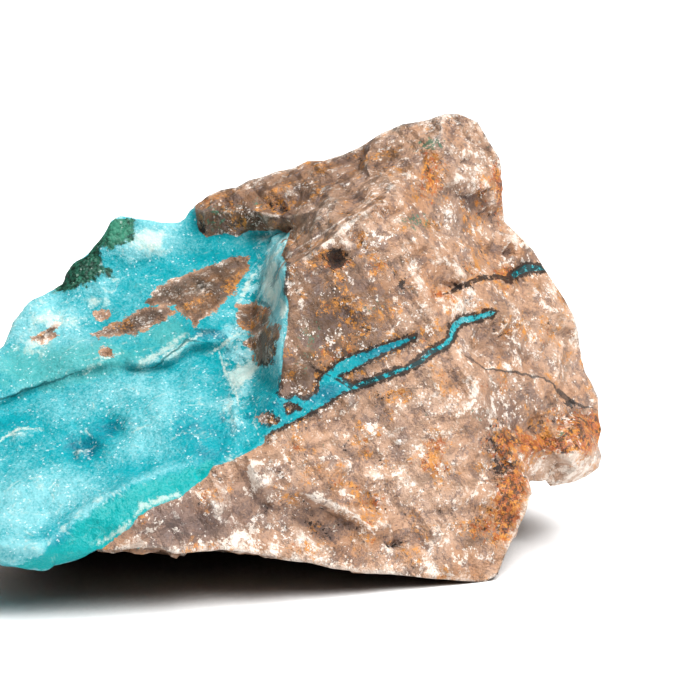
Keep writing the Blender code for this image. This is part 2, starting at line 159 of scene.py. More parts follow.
MALACHITE = (
    (
        (-29.9, 5.8), (-29.2, 8.0), (-27.4, 10.2), (-26.1, 10.8), (-24.9, 9.6), (-24.7, 7.6),
        (-26.6, 6.5), (-28.4, 5.9),
    ),
    ((-26.2, 10.3), (-25.4, 13.0), (-23.2, 14.6), (-21.7, 13.0), (-21.9, 10.9), (-24.4, 10.2)),
    ((-24.6, 7.9), (-23.9, 8.0), (-23.7, 7.3), (-24.4, 7.2)),
)
# The clear lower rim.
RIM = (
    (
        (-34.0, -22.0), (-31.3, -20.7), (-28.3, -18.7), (-27.0, -17.0), (-24.0, -15.2),
        (-21.7, -13.7), (-19.3, -13.0), (-16.3, -11.7), (-13.7, -10.7), (-13.0, -12.2),
        (-16.0, -14.6), (-20.4, -16.6), (-24.8, -20.4), (-30.0, -23.0),
    ),
)
# Cream crusts of weathered vein along its foot and on its ledges.
CREAM = (
    ((-25.2, -19.6), (-22.6, -18.6), (-21.6, -17.4), (-21.9, -16.9), (-23.4, -17.9), (-25.2, -19.0)),
    (
        (-21.6, -16.7), (-19.4, -15.5), (-17.0, -14.7), (-16.8, -14.0), (-19.2, -14.6),
        (-21.2, -15.5),
    ),
    ((-12.8, -11.4), (-11.4, -11.2), (-11.2, -10.7), (-12.6, -10.7)),
    (
        (-21.4, -1.9), (-19.0, -1.0), (-17.4, 0.4), (-16.4, 1.5), (-17.4, 1.4), (-19.2, 0.0),
        (-21.2, -1.1),
    ),
    ((-26.8, -2.4), (-24.6, -1.4), (-24.4, -1.1), (-26.6, -1.9)),
    (
        (-12.6, -0.4), (-12.0, -2.2), (-9.4, -0.6), (-9.3, -2.4), (-11.0, -4.2), (-11.8, -4.0),
        (-12.2, -3.0),
    ),
    ((-27.6, -9.8), (-26.4, -9.7), (-26.3, -10.5), (-27.3, -10.8)),
)
# Thin seams, each a run of (across, up, half the width there); the width runs out at both ends.
LOWER_BRANCH = (
    (-0.8, -3.2, 0.15), (0.3, -3.75, 0.26), (2.4, -3.0, 0.26), (4.5, -2.2, 0.24),
    (5.8, -1.8, 0.2), (7.0, -1.2, 0.26), (8.0, -0.2, 0.28), (9.5, 0.5, 0.26), (10.1, 1.2, 0.3),
    (10.4, 2.3, 0.34), (11.0, 2.9, 0.36), (12.9, 3.3, 0.3), (14.2, 3.7, 0.28), (14.6, 3.8, 0.0),
)
UPPER_SEAM = (
    (9.6, 5.7, 0.1), (11.0, 6.4, 0.34), (12.4, 6.9, 0.34), (13.3, 7.3, 0.3), (14.7, 7.4, 0.32),
    (16.0, 7.2, 0.28), (16.7, 7.7, 0.3), (17.6, 8.2, 0.38), (18.6, 8.2, 0.3),
)
CRACK = (
    (10.0, 0.6, 0.0), (11.6, -0.5, 0.06), (13.3, -1.7, 0.08), (15.2, -2.1, 0.12),
    (17.5, -2.5, 0.14), (19.4, -2.8, 0.1), (20.6, -3.8, 0.12), (21.9, -5.2, 0.22),
    (24.4, -5.8, 0.05),
)
# The last two are painted shadow under the lip of the vein's raised upper layer, along its ledge.
LEDGE_SHADE = ((-36.0, -5.6, 0.1), (-32.0, -3.8, 0.12), (-28.9, -2.7, 0.12), (-26.4, -2.1, 0.0))
LEDGE_SHADOW = (
    (-21.6, -2.3, 0.0), (-19.0, -1.3, 0.1), (-17.4, -0.1, 0.16), (-16.4, 0.9, 0.22),
    (-14.2, 0.7, 0.0),
)
# Painted highlights along bright edges of broken quartz, and painted shade in dark creases in it, each
# a run like a seam.
EDGE_HIGHLIGHTS = (
    ((-5.0, -14.2, 0.02), (-1.8, -15.6, 0.1), (0.5, -17.0, 0.12), (2.6, -18.6, 0.06)),
    ((-14.3, -14.2, 0.04), (-13.7, -15.5, 0.12), (-12.8, -17.5, 0.04)),
    ((-10.3, -12.0, 0.06), (-9.8, -13.5, 0.18), (-9.2, -14.3, 0.04)),
    ((-6.9, -9.7, 0.1), (-6.4, -11.2, 0.16), (-6.2, -12.6, 0.04)),
    ((2.7, -15.0, 0.02), (3.3, -17.0, 0.09), (4.7, -19.3, 0.03)),
    ((3.5, -16.0, 0.02), (4.2, -18.0, 0.08), (5.4, -19.8, 0.02)),
    ((-6.0, 9.7, 0.02), (-3.0, 11.5, 0.06), (-0.4, 13.2, 0.07), (2.3, 14.0, 0.02)),
    ((10.3, 21.7, 0.02), (13.0, 20.3, 0.06), (14.3, 17.3, 0.02)),
    ((-12.0, -18.4, 0.04), (-9.4, -19.4, 0.14), (-7.0, -19.8, 0.04)),
)
CREASE_SHADOWS = (
    ((-3.6, -15.4, 0.02), (-1.5, -16.8, 0.16), (0.2, -17.9, 0.14), (2.0, -19.2, 0.02)),
    ((-8.6, -13.3, 0.03), (-7.0, -14.1, 0.12), (-4.2, -14.6, 0.02)),
    ((-10.4, -10.6, 0.2), (-10.0, -11.7, 0.1)),
    ((12.7, 16.6, 0.05), (12.9, 15.0, 0.3), (13.1, 13.2, 0.1)),
    ((4.8, 9.8, 0.04), (5.2, 9.0, 0.26), (5.4, 8.0, 0.06)),
    ((5.6, 6.8, 0.1), (6.2, 6.0, 0.3), (6.8, 5.2, 0.06)),
    ((-6.5, -3.4, 0.02), (-5.2, -3.9, 0.2), (-3.4, -4.2, 0.1)),
    ((13.0, -1.4, 0.02), (14.2, -2.9, 0.1), (14.6, -4.4, 0.02)),
)
# White veils in the vein and dark rifts in it.
VEILS = (
    ((-6.2, 11.0, 0.06), (-7.2, 9.8, 0.16), (-8.4, 8.4, 0.06)),
    ((-9.0, 8.4, 0.05), (-10.2, 6.4, 0.3), (-11.4, 4.4, 0.1)),
    ((-8.3, 6.1, 0.2), (-7.8, 5.4, 0.45), (-7.6, 4.9, 0.1)),
    ((-6.9, 5.1, 0.1), (-6.6, 4.1, 0.36), (-6.8, 3.2, 0.1)),
    ((-14.0, -0.4, 0.1), (-12.0, 1.1, 0.16), (-10.4, 2.0, 0.05)),
    ((-13.0, -0.3, 0.04), (-12.4, -2.4, 0.16), (-11.6, -4.1, 0.08)),
    ((-9.4, -1.6, 0.2), (-10.2, -2.8, 0.34), (-11.4, -4.0, 0.1)),
    ((-11.4, -4.2, 0.1), (-10.9, -7.0, 0.1), (-10.0, -9.6, 0.02)),
    ((-9.2, -4.6, 0.03), (-9.6, -6.8, 0.1), (-9.0, -9.0, 0.03)),
    ((-35.0, -9.2, 0.1), (-33.0, -8.2, 0.18), (-30.6, -7.9, 0.05)),
    ((-18.6, -0.6, 0.08), (-16.6, 0.6, 0.22), (-14.8, 1.6, 0.08)),
    ((-26.6, -1.0, 0.03), (-24.4, -0.9, 0.16), (-22.6, -0.2, 0.04)),
)
RIFTS = (
    ((-6.8, 9.0, 0.05), (-7.4, 7.4, 0.3), (-8.0, 6.2, 0.12)),
    ((-8.6, 8.0, 0.05), (-8.8, 6.8, 0.18), (-9.4, 5.2, 0.05)),
    ((-9.6, 4.9, 0.05), (-8.4, 4.6, 0.3), (-7.4, 2.9, 0.12)),
    ((-6.25, 9.6, 0.06), (-6.4, 7.4, 0.2), (-6.3, 5.4, 0.06)),
    ((-12.6, 0.2, 0.04), (-11.2, -0.4, 0.14), (-10.4, -1.0, 0.04)),
    ((-15.6, 2.2, 0.08), (-14.4, 1.8, 0.34), (-13.2, 2.2, 0.1)),
)
# Ridges and creases too small for the solid: how far each spreads to its left and to its right, then
# its run of (across, up, height).
RIDGES = (
    (
        2.6, 0.3,
        (
            (-5.4, -14.0, 0.0), (-1.8, -15.6, 0.7), (0.5, -17.0, 0.9), (2.2, -18.2, 0.7),
            (2.9, -18.7, 0.0),
        ),
    ),
    (
        0.5, 2.0,
        (
            (-9.8, -11.9, 0.0), (-7.0, -13.6, -0.35), (-4.0, -15.2, -0.4), (-1.9, -16.4, -0.4),
            (1.0, -18.2, 0.0),
        ),
    ),
    (0.4, 1.4, ((2.7, -15.2, 0.0), (3.4, -17.2, 0.35), (5.0, -20.0, 0.45), (5.9, -22.0, 0.0))),
    (0.7, 0.7, ((5.3, -17.0, 0.0), (5.7, -19.5, 0.4), (5.8, -22.5, 0.0))),
    (1.9, 0.4, ((-14.6, -13.6, 0.0), (-13.7, -15.5, 0.7), (-12.8, -17.8, 0.0))),
    (1.6, 0.4, ((-10.3, -10.8, 0.0), (-9.6, -12.9, 0.8), (-9.0, -15.0, 0.0))),
    (0.8, 0.8, ((-12.0, -13.4, 0.0), (-11.2, -15.6, -0.5), (-10.6, -18.0, 0.0))),
    (0.8, 0.8, ((-6.4, -17.0, 0.0), (-4.6, -19.0, 0.5), (-1.6, -20.0, 0.0))),
    (0.6, 0.6, ((12.7, 17.4, 0.0), (12.9, 14.6, -0.25), (13.2, 12.2, 0.0))),
    (1.0, 1.0, ((5.2, 10.6, 0.0), (7.2, 5.4, 0.4), (9.4, 0.8, 0.0))),
    (0.9, 0.9, ((9.6, 0.2, 0.0), (12.0, -3.6, 0.4), (14.6, -8.0, 0.3), (16.0, -11.6, 0.0))),
    (0.8, 0.8, ((-34.5, -10.0, 0.0), (-33.0, -8.8, 0.4), (-31.0, -8.0, 0.0))),
    (1.4, 1.4, ((-36.0, -9.0, 0.2), (-30.0, -6.4, 0.3), (-24.0, -4.2, 0.2), (-19.0, -3.4, 0.0))),
    (
        1.2, 1.2,
        (
            (-36.0, -19.6, 0.3), (-31.3, -19.9, 0.45), (-28.3, -18.0, 0.5), (-24.0, -14.8, 0.55),
            (-19.3, -12.6, 0.45), (-13.4, -10.4, 0.0),
        ),
    ),
    (0.5, 0.5, ((-12.0, -4.0, 0.0), (-11.4, -6.6, 0.35), (-11.0, -9.6, 0.0))),
)
# Swells and hollows: (across, up, reach across, reach up, height).
SWELLS = (
    (-26.6, -9.6, 2.0, 1.3, -0.6), (-24.2, -7.4, 1.5, 1.0, -0.5), (-27.0, -10.2, 0.45, 0.6, 0.7),
    (-14.0, -5.0, 2.4, 2.0, -0.4), (-20.5, -6.4, 2.6, 1.6, 0.35), (-31.0, -13.4, 3.4, 2.0, 0.35),
    (-22.0, -11.6, 3.4, 1.0, -0.35), (-11.0, -3.2, 1.3, 0.9, 0.45), (-20.6, 10.2, 2.6, 1.4, 0.4),
    (-16.0, 9.4, 2.6, 1.0, -0.4), (-30.0, 3.8, 2.4, 1.4, 0.3), (-8.4, -13.6, 1.4, 1.2, 0.4),
    (-3.0, -18.6, 2.0, 1.2, -0.4), (-1.3, 9.1, 0.7, 0.8, -0.9), (10.7, 4.1, 0.8, 0.8, 0.35),
    (-6.4, -16.4, 1.6, 1.2, 0.35), (-1.0, -14.0, 0.6, 0.6, 0.3),
)
# The corner of the low right lobe that is drawn in: where it is, how far round it the pull reaches,
# and how far the corner moves.
LOBE_CORNER = np.array((27.4, -2.2, 6.4))
LOBE_REACH = 2.4
LOBE_MOVE = np.array((-1.0, 0.6, 1.1))
# Soft patches: (across, up, reach across, reach up, strength).
EASED_PATCHES = ((-24.0, -1.6, 3.2, 1.6, 1.0), (-29.0, -2.6, 3.0, 1.2, 0.6))
# Milky patches; the one on the low right lobe at (21.6, -12.0) also lightens that face as painted
# light.
WHITE_PATCHES = (
    (-7.8, 6.4, 1.3, 3.6, 0.9), (-20.2, 11.0, 2.4, 1.6, 0.9), (-29.6, 3.0, 3.0, 1.2, 0.7),
    (-25.0, 4.9, 1.8, 0.7, 0.8), (-11.0, -2.4, 1.2, 1.4, 0.6), (-31.8, 0.6, 1.6, 1.4, 0.7),
    (-8.0, 11.2, 2.2, 0.6, 0.5), (-18.6, -0.4, 2.4, 0.7, 0.5), (-12.0, -6.0, 0.5, 2.6, 0.5),
    (-33.6, -8.6, 1.8, 0.6, 0.6), (-10.8, -19.2, 2.8, 1.2, 1.0), (8.8, -22.2, 1.4, 0.9, 1.0),
    (-9.8, -12.6, 0.5, 1.4, 0.9), (-1.0, -14.0, 0.6, 0.7, 1.0), (-6.4, -11.2, 2.2, 1.2, 0.6),
    (11.6, -6.6, 1.2, 1.6, 0.6), (9.4, 5.4, 1.2, 1.2, 0.6), (10.7, 4.1, 0.9, 0.9, 1.0),
    (14.8, -6.2, 1.4, 2.2, 0.6), (1.0, 12.8, 1.6, 1.2, 0.5), (13.4, 11.6, 1.2, 0.6, 0.7),
    (6.6, 7.6, 1.4, 1.4, 0.5), (16.0, -2.2, 2.2, 2.0, 0.4), (-3.4, -19.2, 1.6, 1.0, 0.5),
    (21.6, -12.0, 4.4, 1.2, 1.0), (13.6, -11.0, 0.8, 2.4, 0.5), (17.4, 1.4, 1.4, 1.8, 0.4),
    (12.4, 18.6, 1.0, 2.4, 0.4),
)
LINED_PATCHES = (
    (-6.3, 7.0, 0.9, 3.2, 1.0), (-7.8, 0.4, 1.2, 1.4, 0.9), (-8.6, -1.2, 0.9, 0.7, 1.0),
    (-7.0, -4.0, 1.6, 2.4, 1.0),
)
# Frosted patches of the vein; the tall one at (-7.6, 6.6) also lightens the shaded wall beside the
# block as painted light.
PALE_PATCHES = (
    (-20.5, 10.6, 3.4, 1.8, 1.0), (-29.5, 3.4, 3.2, 2.6, 0.7), (-31.5, 1.0, 3.0, 2.4, 0.6),
    (-24.0, 6.0, 2.6, 1.2, 0.6), (-10.4, 1.6, 1.8, 2.6, 0.5), (-22.0, -8.0, 7.0, 3.0, 0.45),
    (-33.0, -16.0, 5.0, 4.0, 0.75), (-26.0, -14.5, 4.0, 2.0, 0.5), (-14.0, -6.0, 5.0, 3.0, 0.35),
    (-19.5, -3.6, 7.0, 2.0, 0.4), (-8.2, 11.0, 2.4, 0.8, 0.6), (-26.5, 0.4, 3.0, 1.2, 0.3),
    (-11.5, -5.0, 1.2, 3.6, 0.4), (-7.6, 6.6, 1.8, 5.0, 1.0), (-7.4, 0.6, 1.0, 3.0, 0.8),
    (-8.5, 7.0, 1.3, 2.6, 0.6),
)
DEEP_PATCHES = (
    (-26.6, -9.6, 2.6, 1.6, 1.0), (-24.2, -7.6, 1.8, 1.2, 0.9), (-13.4, -2.6, 2.2, 1.6, 0.4),
    (-7.4, -6.0, 3.0, 2.4, 0.7), (-14.4, 1.6, 2.4, 0.9, 0.9), (-20.0, 8.4, 2.4, 1.0, 0.5),
    (-9.4, 9.8, 1.2, 1.6, 0.5), (-23.0, 6.2, 1.4, 0.7, 0.5), (-20.0, -15.4, 5.0, 1.6, 0.9),
    (-27.0, -19.4, 4.0, 1.6, 0.9), (-2.4, -4.4, 3.2, 1.4, 1.0), (3.4, -0.4, 3.6, 1.6, 1.0),
    (6.0, 1.2, 1.6, 0.8, 0.8), (-34.0, -7.4, 3.0, 1.2, 0.5), (-14.2, -10.6, 2.0, 1.2, 0.7),
    (-6.6, 2.0, 0.5, 4.0, 0.5), (-16.8, -7.6, 1.4, 2.0, 0.5), (-13.6, -8.0, 3.0, 2.4, 0.6),
    (-11.0, 9.4, 1.6, 1.6, 0.4), (-14.0, 9.2, 3.0, 0.7, 0.5),
)
OLIVE_PATCHES = (
    (-1.5, 2.6, 5.5, 7.0, 0.95), (-2.4, 8.4, 3.4, 2.6, 0.4), (-11.5, 13.2, 5.2, 2.6, 1.0),
    (-4.5, 16.2, 5.0, 2.2, 0.7), (1.6, 19.4, 4.0, 1.8, 0.6), (-4.4, -3.0, 2.4, 1.8, 0.8),
    (11.0, 16.0, 3.0, 4.0, 0.25), (14.8, 2.0, 3.4, 2.0, 0.4), (16.0, -6.0, 3.0, 2.0, 0.35),
    (12.4, -18.8, 1.5, 1.5, 0.7), (-0.6, 1.0, 2.2, 1.4, 0.6),
)
SHATTERED_PATCHES = (
    (-11.6, 0.6, 3.4, 2.4, 1.0), (-9.0, 5.6, 1.8, 5.0, 0.8), (-11.4, -4.6, 1.8, 3.6, 0.8),
    (-8.0, -7.4, 2.4, 2.0, 0.5),
)
DULL_PATCHES = (
    (-31.0, -1.8, 6.0, 2.4, 1.0), (-24.4, -0.6, 5.0, 1.6, 0.9), (-18.2, 1.6, 3.0, 1.6, 0.9),
    (-21.0, 6.4, 3.0, 1.0, 0.4),
)
# Pinkish patches; those at (21.5, -11.6) on the low right lobe, (-3.0, 12.8) left of the block's brow
# and (-2.6, -17.2) low on the front also lighten those faces as painted light.
PINK_PATCHES = (
    (4.0, -3.6, 6.0, 4.0, 0.6), (0.6, 11.6, 3.0, 2.0, 0.7), (7.0, -11.0, 5.0, 5.0, 0.6),
    (10.4, 0.0, 2.6, 2.6, 0.5), (21.5, -11.6, 4.0, 1.6, 1.0), (20.6, 0.4, 3.0, 4.0, 0.6),
    (-2.0, -9.0, 4.0, 3.0, 0.4), (9.4, 20.4, 4.0, 2.6, 0.4), (13.0, 3.4, 3.0, 3.0, 0.4),
    (10.6, 13.6, 1.8, 5.0, 0.4), (-12.0, -15.0, 5.0, 3.0, 0.5), (9.0, -17.0, 4.0, 3.0, 0.6),
    (-3.0, 12.8, 2.6, 2.0, 0.7), (-2.6, -17.2, 2.8, 1.8, 0.5),
)
GREY_PATCHES = (
    (-3.0, -15.5, 6.0, 3.0, 0.2), (-16.0, -17.0, 7.0, 3.0, 0.95), (15.4, -6.6, 3.0, 3.6, 0.5),
    (15.0, -10.0, 1.6, 3.0, 0.7), (4.0, -8.0, 3.0, 2.0, 0.3), (-9.0, -13.6, 3.0, 2.0, 0.5),
    (11.6, 14.0, 1.8, 3.4, 0.45), (16.0, 0.6, 3.4, 1.8, 0.35), (-1.0, 0.6, 2.4, 1.4, 0.4),
    (-17.5, -18.5, 3.0, 1.6, 0.6),
)
RUST_PATCHES = (
    (16.4, -13.0, 1.5, 2.4, 1.0), (15.4, -16.6, 1.1, 2.6, 1.0), (23.8, -7.8, 2.4, 1.7, 1.0),
    (20.6, -9.4, 3.8, 1.1, 1.0), (15.2, -9.0, 1.8, 1.8, 0.7), (-1.2, 9.0, 1.0, 0.9, 1.0),
    (15.0, 16.6, 0.8, 4.0, 0.7), (7.9, 17.6, 1.0, 2.8, 0.75), (12.9, 15.0, 0.5, 1.8, 0.7),
    (8.4, -10.0, 1.2, 2.0, 0.5), (7.6, -11.6, 1.8, 1.4, 0.45), (13.6, -3.6, 2.6, 1.0, 0.25),
    (12.6, -18.6, 1.2, 1.4, 0.35), (2.6, -14.8, 1.0, 0.6, 0.7), (-8.2, 4.4, 1.4, 1.6, 0.5),
    (3.0, 8.4, 1.4, 1.4, 0.3), (15.8, 7.6, 1.2, 0.8, 1.0), (8.6, 5.4, 3.0, 0.8, 0.35),
    (-0.6, -0.2, 5.0, 0.7, 0.3),
)
# Patches of dark pits and grains; the one at (-1.3, 9.2) darkens a hollow as painted shade.
DARK_PATCHES = (
    (-1.3, 9.2, 0.9, 1.05, 1.0), (14.0, -9.2, 1.0, 1.0, 0.44), (14.8, -12.2, 0.9, 1.6, 0.46),
    (22.0, -5.3, 0.7, 0.45, 1.0), (11.2, 6.3, 1.4, 0.4, 0.5), (5.2, 6.4, 0.5, 0.7, 0.7),
    (14.6, -7.4, 0.8, 0.8, 0.5), (-14.9, 11.6, 0.6, 1.2, 0.6),
)
GREEN_PATCHES = (
    (8.0, 20.6, 1.6, 0.7, 0.8), (6.6, 12.8, 1.8, 0.9, 0.7), (21.2, -8.4, 0.6, 0.5, 0.8),
    (-13.4, 13.2, 1.2, 1.6, 0.6), (-9.0, 14.6, 1.4, 0.8, 0.4), (-4.0, 0.6, 1.4, 2.4, 0.45),
    (2.4, 4.4, 2.0, 1.0, 0.3), (13.0, -6.4, 0.8, 0.8, 0.4), (-23.4, 12.4, 1.6, 1.6, 0.9),
)
# What the mesh keeps for the material, by the name that the material reads.
AREAS = {"island": ISLANDS, "malachite": MALACHITE, "cream": CREAM, "rim": RIM}
LINES = {"bright": EDGE_HIGHLIGHTS, "crease_shade": CREASE_SHADOWS, "veil": VEILS, "rift": RIFTS}
SEAMS = {
    "lower_branch": LOWER_BRANCH,
    "upper_seam": UPPER_SEAM,
    "crack": CRACK,
    "ledge_shade": LEDGE_SHADE,
    "ledge_shadow": LEDGE_SHADOW,
}
PATCHES = {
    "pale": PALE_PATCHES,
    "deep": DEEP_PATCHES,
    "olive": OLIVE_PATCHES,
    "pink": PINK_PATCHES,
    "white": WHITE_PATCHES,
    "grey": GREY_PATCHES,
    "rust": RUST_PATCHES,
    "dark": DARK_PATCHES,
    "green": GREEN_PATCHES,
    "shattered": SHATTERED_PATCHES,
    "dull": DULL_PATCHES,
}


def srgb(red, green, blue):
    """A colour as a shader takes it, from its 0 to 255 values on a screen."""
    shares = (red / 255.0, green / 255.0, blue / 255.0)
    return tuple(s / 12.92 if s <= 0.04045 else ((s + 0.055) / 1.055) ** 2.4 for s in shares)


# ---------------------------------------------------------------------------------------------
# Settings
# ---------------------------------------------------------------------------------------------


def length(name, description, default_mm):
    """A setting that is a length, shown in the scene's unit."""
    return FloatProperty(name=name, description=description, default=default_mm * MM, min=0.0,
                         subtype="DISTANCE", unit="LENGTH", precision=5)


def share(name, description, default, highest=1.0):
    """A setting from 0 to 1, or to another highest value."""
    return FloatProperty(name=name, description=description, default=default, min=0.0, max=highest)


def colour(name, description, default):
    """A setting that is a colour."""
    return FloatVectorProperty(name=name, description=description, default=default, size=3,
                               subtype="COLOR", min=0.0, max=1.0)


class SurfaceSettings(bpy.types.PropertyGroup):
    """Relief that is too fine for the solid."""

    facet_size: length("Facet size", "Width of the small flat breaks in the quartz", 1.5)
    facet_tilt: share("Facet tilt", "How far each small break leans", 0.27)
    grain_size: length("Grain size", "Width of the quartz grains", 0.62)
    grain_depth: length("Grain depth", "How far grains stand out", 0.07)
    ripple_size: length("Ripple size", "Width of the waxy swells on the vein", 3.0)
    ripple_depth: length("Ripple depth", "Height of the waxy swells on the vein", 0.4)


class QuartzColours(bpy.types.PropertyGroup):
    """Colours of the quartz and its stains."""

    body: colour("Body", "Most of the quartz", srgb(178, 130, 94))
    pink: colour("Pink", "Clean, pinkish quartz", srgb(200, 165, 140))
    grey: colour("Grey", "Glassy, shaded quartz", srgb(104, 84, 78))
    olive: colour("Olive", "Weathered, brown quartz", srgb(88, 60, 36))
    umber: colour("Umber", "Quartz that stands in the vein", srgb(84, 60, 40))
    # Also painted highlight on lit breaks.
    white: colour("White", "Milky grains", srgb(246, 232, 218))
    # Also the colour of painted glints and of painted highlights on the drawn edges.
    fleck_glint: colour("Fleck", "Brightest grains", (1.0, 0.92, 0.84))
    rust: colour("Rust", "Iron stain", srgb(168, 80, 14))
    ochre: colour("Ochre", "Pale iron stain", srgb(186, 124, 60))
    gold: colour("Gold", "Specks of iron stain", srgb(206, 134, 44))
    # Also painted shade in pits and hollows.
    dark: colour("Dark", "Pits and dark grains", srgb(20, 12, 8))
    green: colour("Green", "Copper stain", srgb(60, 114, 88))


class VeinColours(bpy.types.PropertyGroup):
    """Colours of the chrysocolla and malachite."""

    bright: colour("Bright", "Most of the chrysocolla", srgb(0, 144, 154))
    deep: colour("Deep", "Pockets and edges", srgb(0, 104, 122))
    clear: colour("Clear", "Clear teal rim", srgb(0, 150, 150))
    # Also painted highlight on the vein's raised crests.
    dull: colour("Dull", "Dull green-blue shelf", srgb(74, 158, 156))
    pale: colour("Pale", "Frosted chrysocolla", srgb(126, 188, 194))
    cream: colour("Cream", "Weathered crust", srgb(196, 208, 198))
    malachite: colour("Malachite", "Dark green crust", srgb(8, 40, 28))
    moss: colour("Moss", "Lighter grains of the green crust", srgb(52, 122, 98))
    # Also the colour of painted glints on that dust.
    sugar_glint: colour("Sugar", "Bright dust on the vein", (0.9, 0.96, 0.97))
    rift: colour("Rift", "Dark rifts in the vein", (0.006, 0.075, 0.09))
    shade: colour("Shade", "Shaded edge under the ledge", (0.012, 0.12, 0.13))
    selvage: colour("Selvage", "Dark lining of the vein", srgb(22, 13, 9))


class StageSettings(bpy.types.PropertyGroup):
    """Floor and light."""

    floor_size: length("Floor size", "Width of the floor", 6000.0)
    overhead: share("Overhead light", "Strength of the soft light above", 3.7, highest=20.0)
    front: share("Front light", "Strength of the soft light from the front", 2.4, highest=20.0)
    world: share("World light", "Strength of the light from all sides", 0.2, highest=5.0)


# ---------------------------------------------------------------------------------------------
# Plotting
# ---------------------------------------------------------------------------------------------


def plotted(points):
    """Across and up on the sight plane, for points in millimetres."""
    offset = points - SIGHT_CENTRE
    nearness = SIGHT_DISTANCE / (SIGHT_DISTANCE + offset @ ALONG)
    return np.stack([offset[:, 0] * nearness, (offset @ RISE) * nearness], axis=1)


def inside_distance(spots, outline):
    """How far inside a closed outline each spot is; below 0 outside it."""
    starts = np.array(outline)
    ends = np.roll(starts, -1, axis=0)
    nearest = np.full(len(spots), np.inf)
    inside = np.zeros(len(spots), bool)
    for start, end in zip(starts, ends):
        run = end - start
        place = np.clip(((spots - start) @ run) / (run @ run), 0.0, 1.0)
        gap = spots - start - place[:, None] * run
        nearest = np.minimum(nearest, np.hypot(gap[:, 0], gap[:, 1]))
        spans = (start[1] > spots[:, 1]) != (end[1] > spots[:, 1])
        if run[1] != 0.0:
            crossing = start[0] + (spots[:, 1] - start[1]) * run[0] / run[1]
            inside ^= spans & (spots[:, 0] < crossing)
    return np.where(inside, nearest, -nearest)


def inside_any(spots, outlines):
    """How far inside the nearest of several outlines each spot is."""
    return np.max([inside_distance(spots, outline) for outline in outlines], axis=0)


def seam_place(spots, seam):
    """For each spot: its distance to one side of a seam, half the seam's width, and how far along."""
    seam = np.array(seam)
    best = np.full(len(spots), np.inf)
    found = np.zeros((len(spots), 3))
    before = 0.0
    last = len(seam) - 2
    for number, (start, end) in enumerate(zip(seam, seam[1:])):
        run = end[:2] - start[:2]
        size = math.hypot(*run)
        place = ((spots - start[:2]) @ run) / size ** 2
        place = np.clip(place, -np.inf if number == 0 else 0.0, np.inf if number == last else 1.0)
        gap = spots - start[:2] - place[:, None] * run
        away = np.hypot(gap[:, 0], gap[:, 1])
        side = np.sign(run[0] * gap[:, 1] - run[1] * gap[:, 0])
        half = start[2] + place * (end[2] - start[2])
        nearer = away < best
        found[nearer] = np.stack([away * side, half, before + place * size], axis=1)[nearer]
        best = np.minimum(best, away)
        before += size
    return found


def is_beside(spots, seam, reach):
    """Which spots lie near a seam, and not far beyond its ends."""
    start, end = (np.array(seam[place])[:2] for place in (0, -1))
    return np.hypot(*(spots - (start + end) / 2.0).T) < np.hypot(*(end - start)) / 2.0 + reach


def inside_lines(spots, lines):
    """How far inside the nearest of several thin lines each spot is; below 0 outside them."""
    depth = np.full(len(spots), OFF_LINE)
    for line in lines:
        side, half, _ = seam_place(spots, line).T
        inside = np.where(is_beside(spots, line, LINE_END), half - np.abs(side), OFF_LINE)
        depth = np.maximum(depth, inside)
    return depth


def soft_patches(spots, patches):
    """How much of a colour lies at each spot, from 0 to 1, from its soft patches."""
    left = np.ones(len(spots))
    for across, up, reach_across, reach_up, strength in patches:
        away = ((spots[:, 0] - across) / reach_across) ** 2 + ((spots[:, 1] - up) / reach_up) ** 2
        left *= 1.0 - strength * np.exp(-away)
    return 1.0 - left


def is_seen(points, net):
    """Whether the eye sees each point, given a search tree of the stone's surface."""
    eye = Vector(EYE * MM)
    seen = np.zeros(len(points), bool)
    for number, point in enumerate(points):
        target = Vector(point * MM)
        away = (target - eye).length
        hit = net.ray_cast(eye, target - eye)
        seen[number] = hit[0] is not None and hit[3] > away - SEEN_SLACK * MM
    return seen


# ---------------------------------------------------------------------------------------------
# Mesh helpers
# ---------------------------------------------------------------------------------------------


def deselect_all():
    for obj in bpy.context.selected_objects:
        obj.select_set(False)


def make_active(obj):
    deselect_all()
    obj.select_set(True)
    bpy.context.view_layer.objects.active = obj


def corners_of(mesh):
    """The mesh's corners, in millimetres."""
    flat = np.empty(len(mesh.vertices) * 3, np.float32)
    mesh.vertices.foreach_get("co", flat)
    return flat.reshape(-1, 3).astype(float) / MM


def normals_of(mesh):
    flat = np.empty(len(mesh.vertices) * 3, np.float32)
    mesh.vertices.foreach_get("normal", flat)
    return flat.reshape(-1, 3).astype(float)


def set_corners(mesh, points):
    mesh.vertices.foreach_set("co", (points * MM).astype(np.float32).reshape(-1))
    mesh.update()


def split_faces(obj, wanted):
    """Cuts each wanted face in four, in edit mode, and makes every face a triangle again."""
    mesh = obj.data
    make_active(obj)
    bpy.ops.object.mode_set(mode="EDIT")
    bpy.context.tool_settings.mesh_select_mode = (False, False, True)
    bpy.ops.mesh.select_all(action="DESELECT")
    bpy.ops.object.mode_set(mode="OBJECT")
    mesh.polygons.foreach_set("select", wanted)
    bpy.ops.object.mode_set(mode="EDIT")
    bpy.ops.mesh.subdivide(number_cuts=1)
    bpy.ops.mesh.select_all(action="SELECT")
    bpy.ops.mesh.quads_convert_to_tris(quad_method="BEAUTY", ngon_method="BEAUTY")
    bpy.ops.object.mode_set(mode="OBJECT")


def face_mask(mesh, marked):
    """The faces that have a marked corner."""
    corners = np.empty(len(mesh.polygons) * 3, np.int32)
    mesh.polygons.foreach_get("vertices", corners)
    return marked[corners.reshape(-1, 3)].any(axis=1)


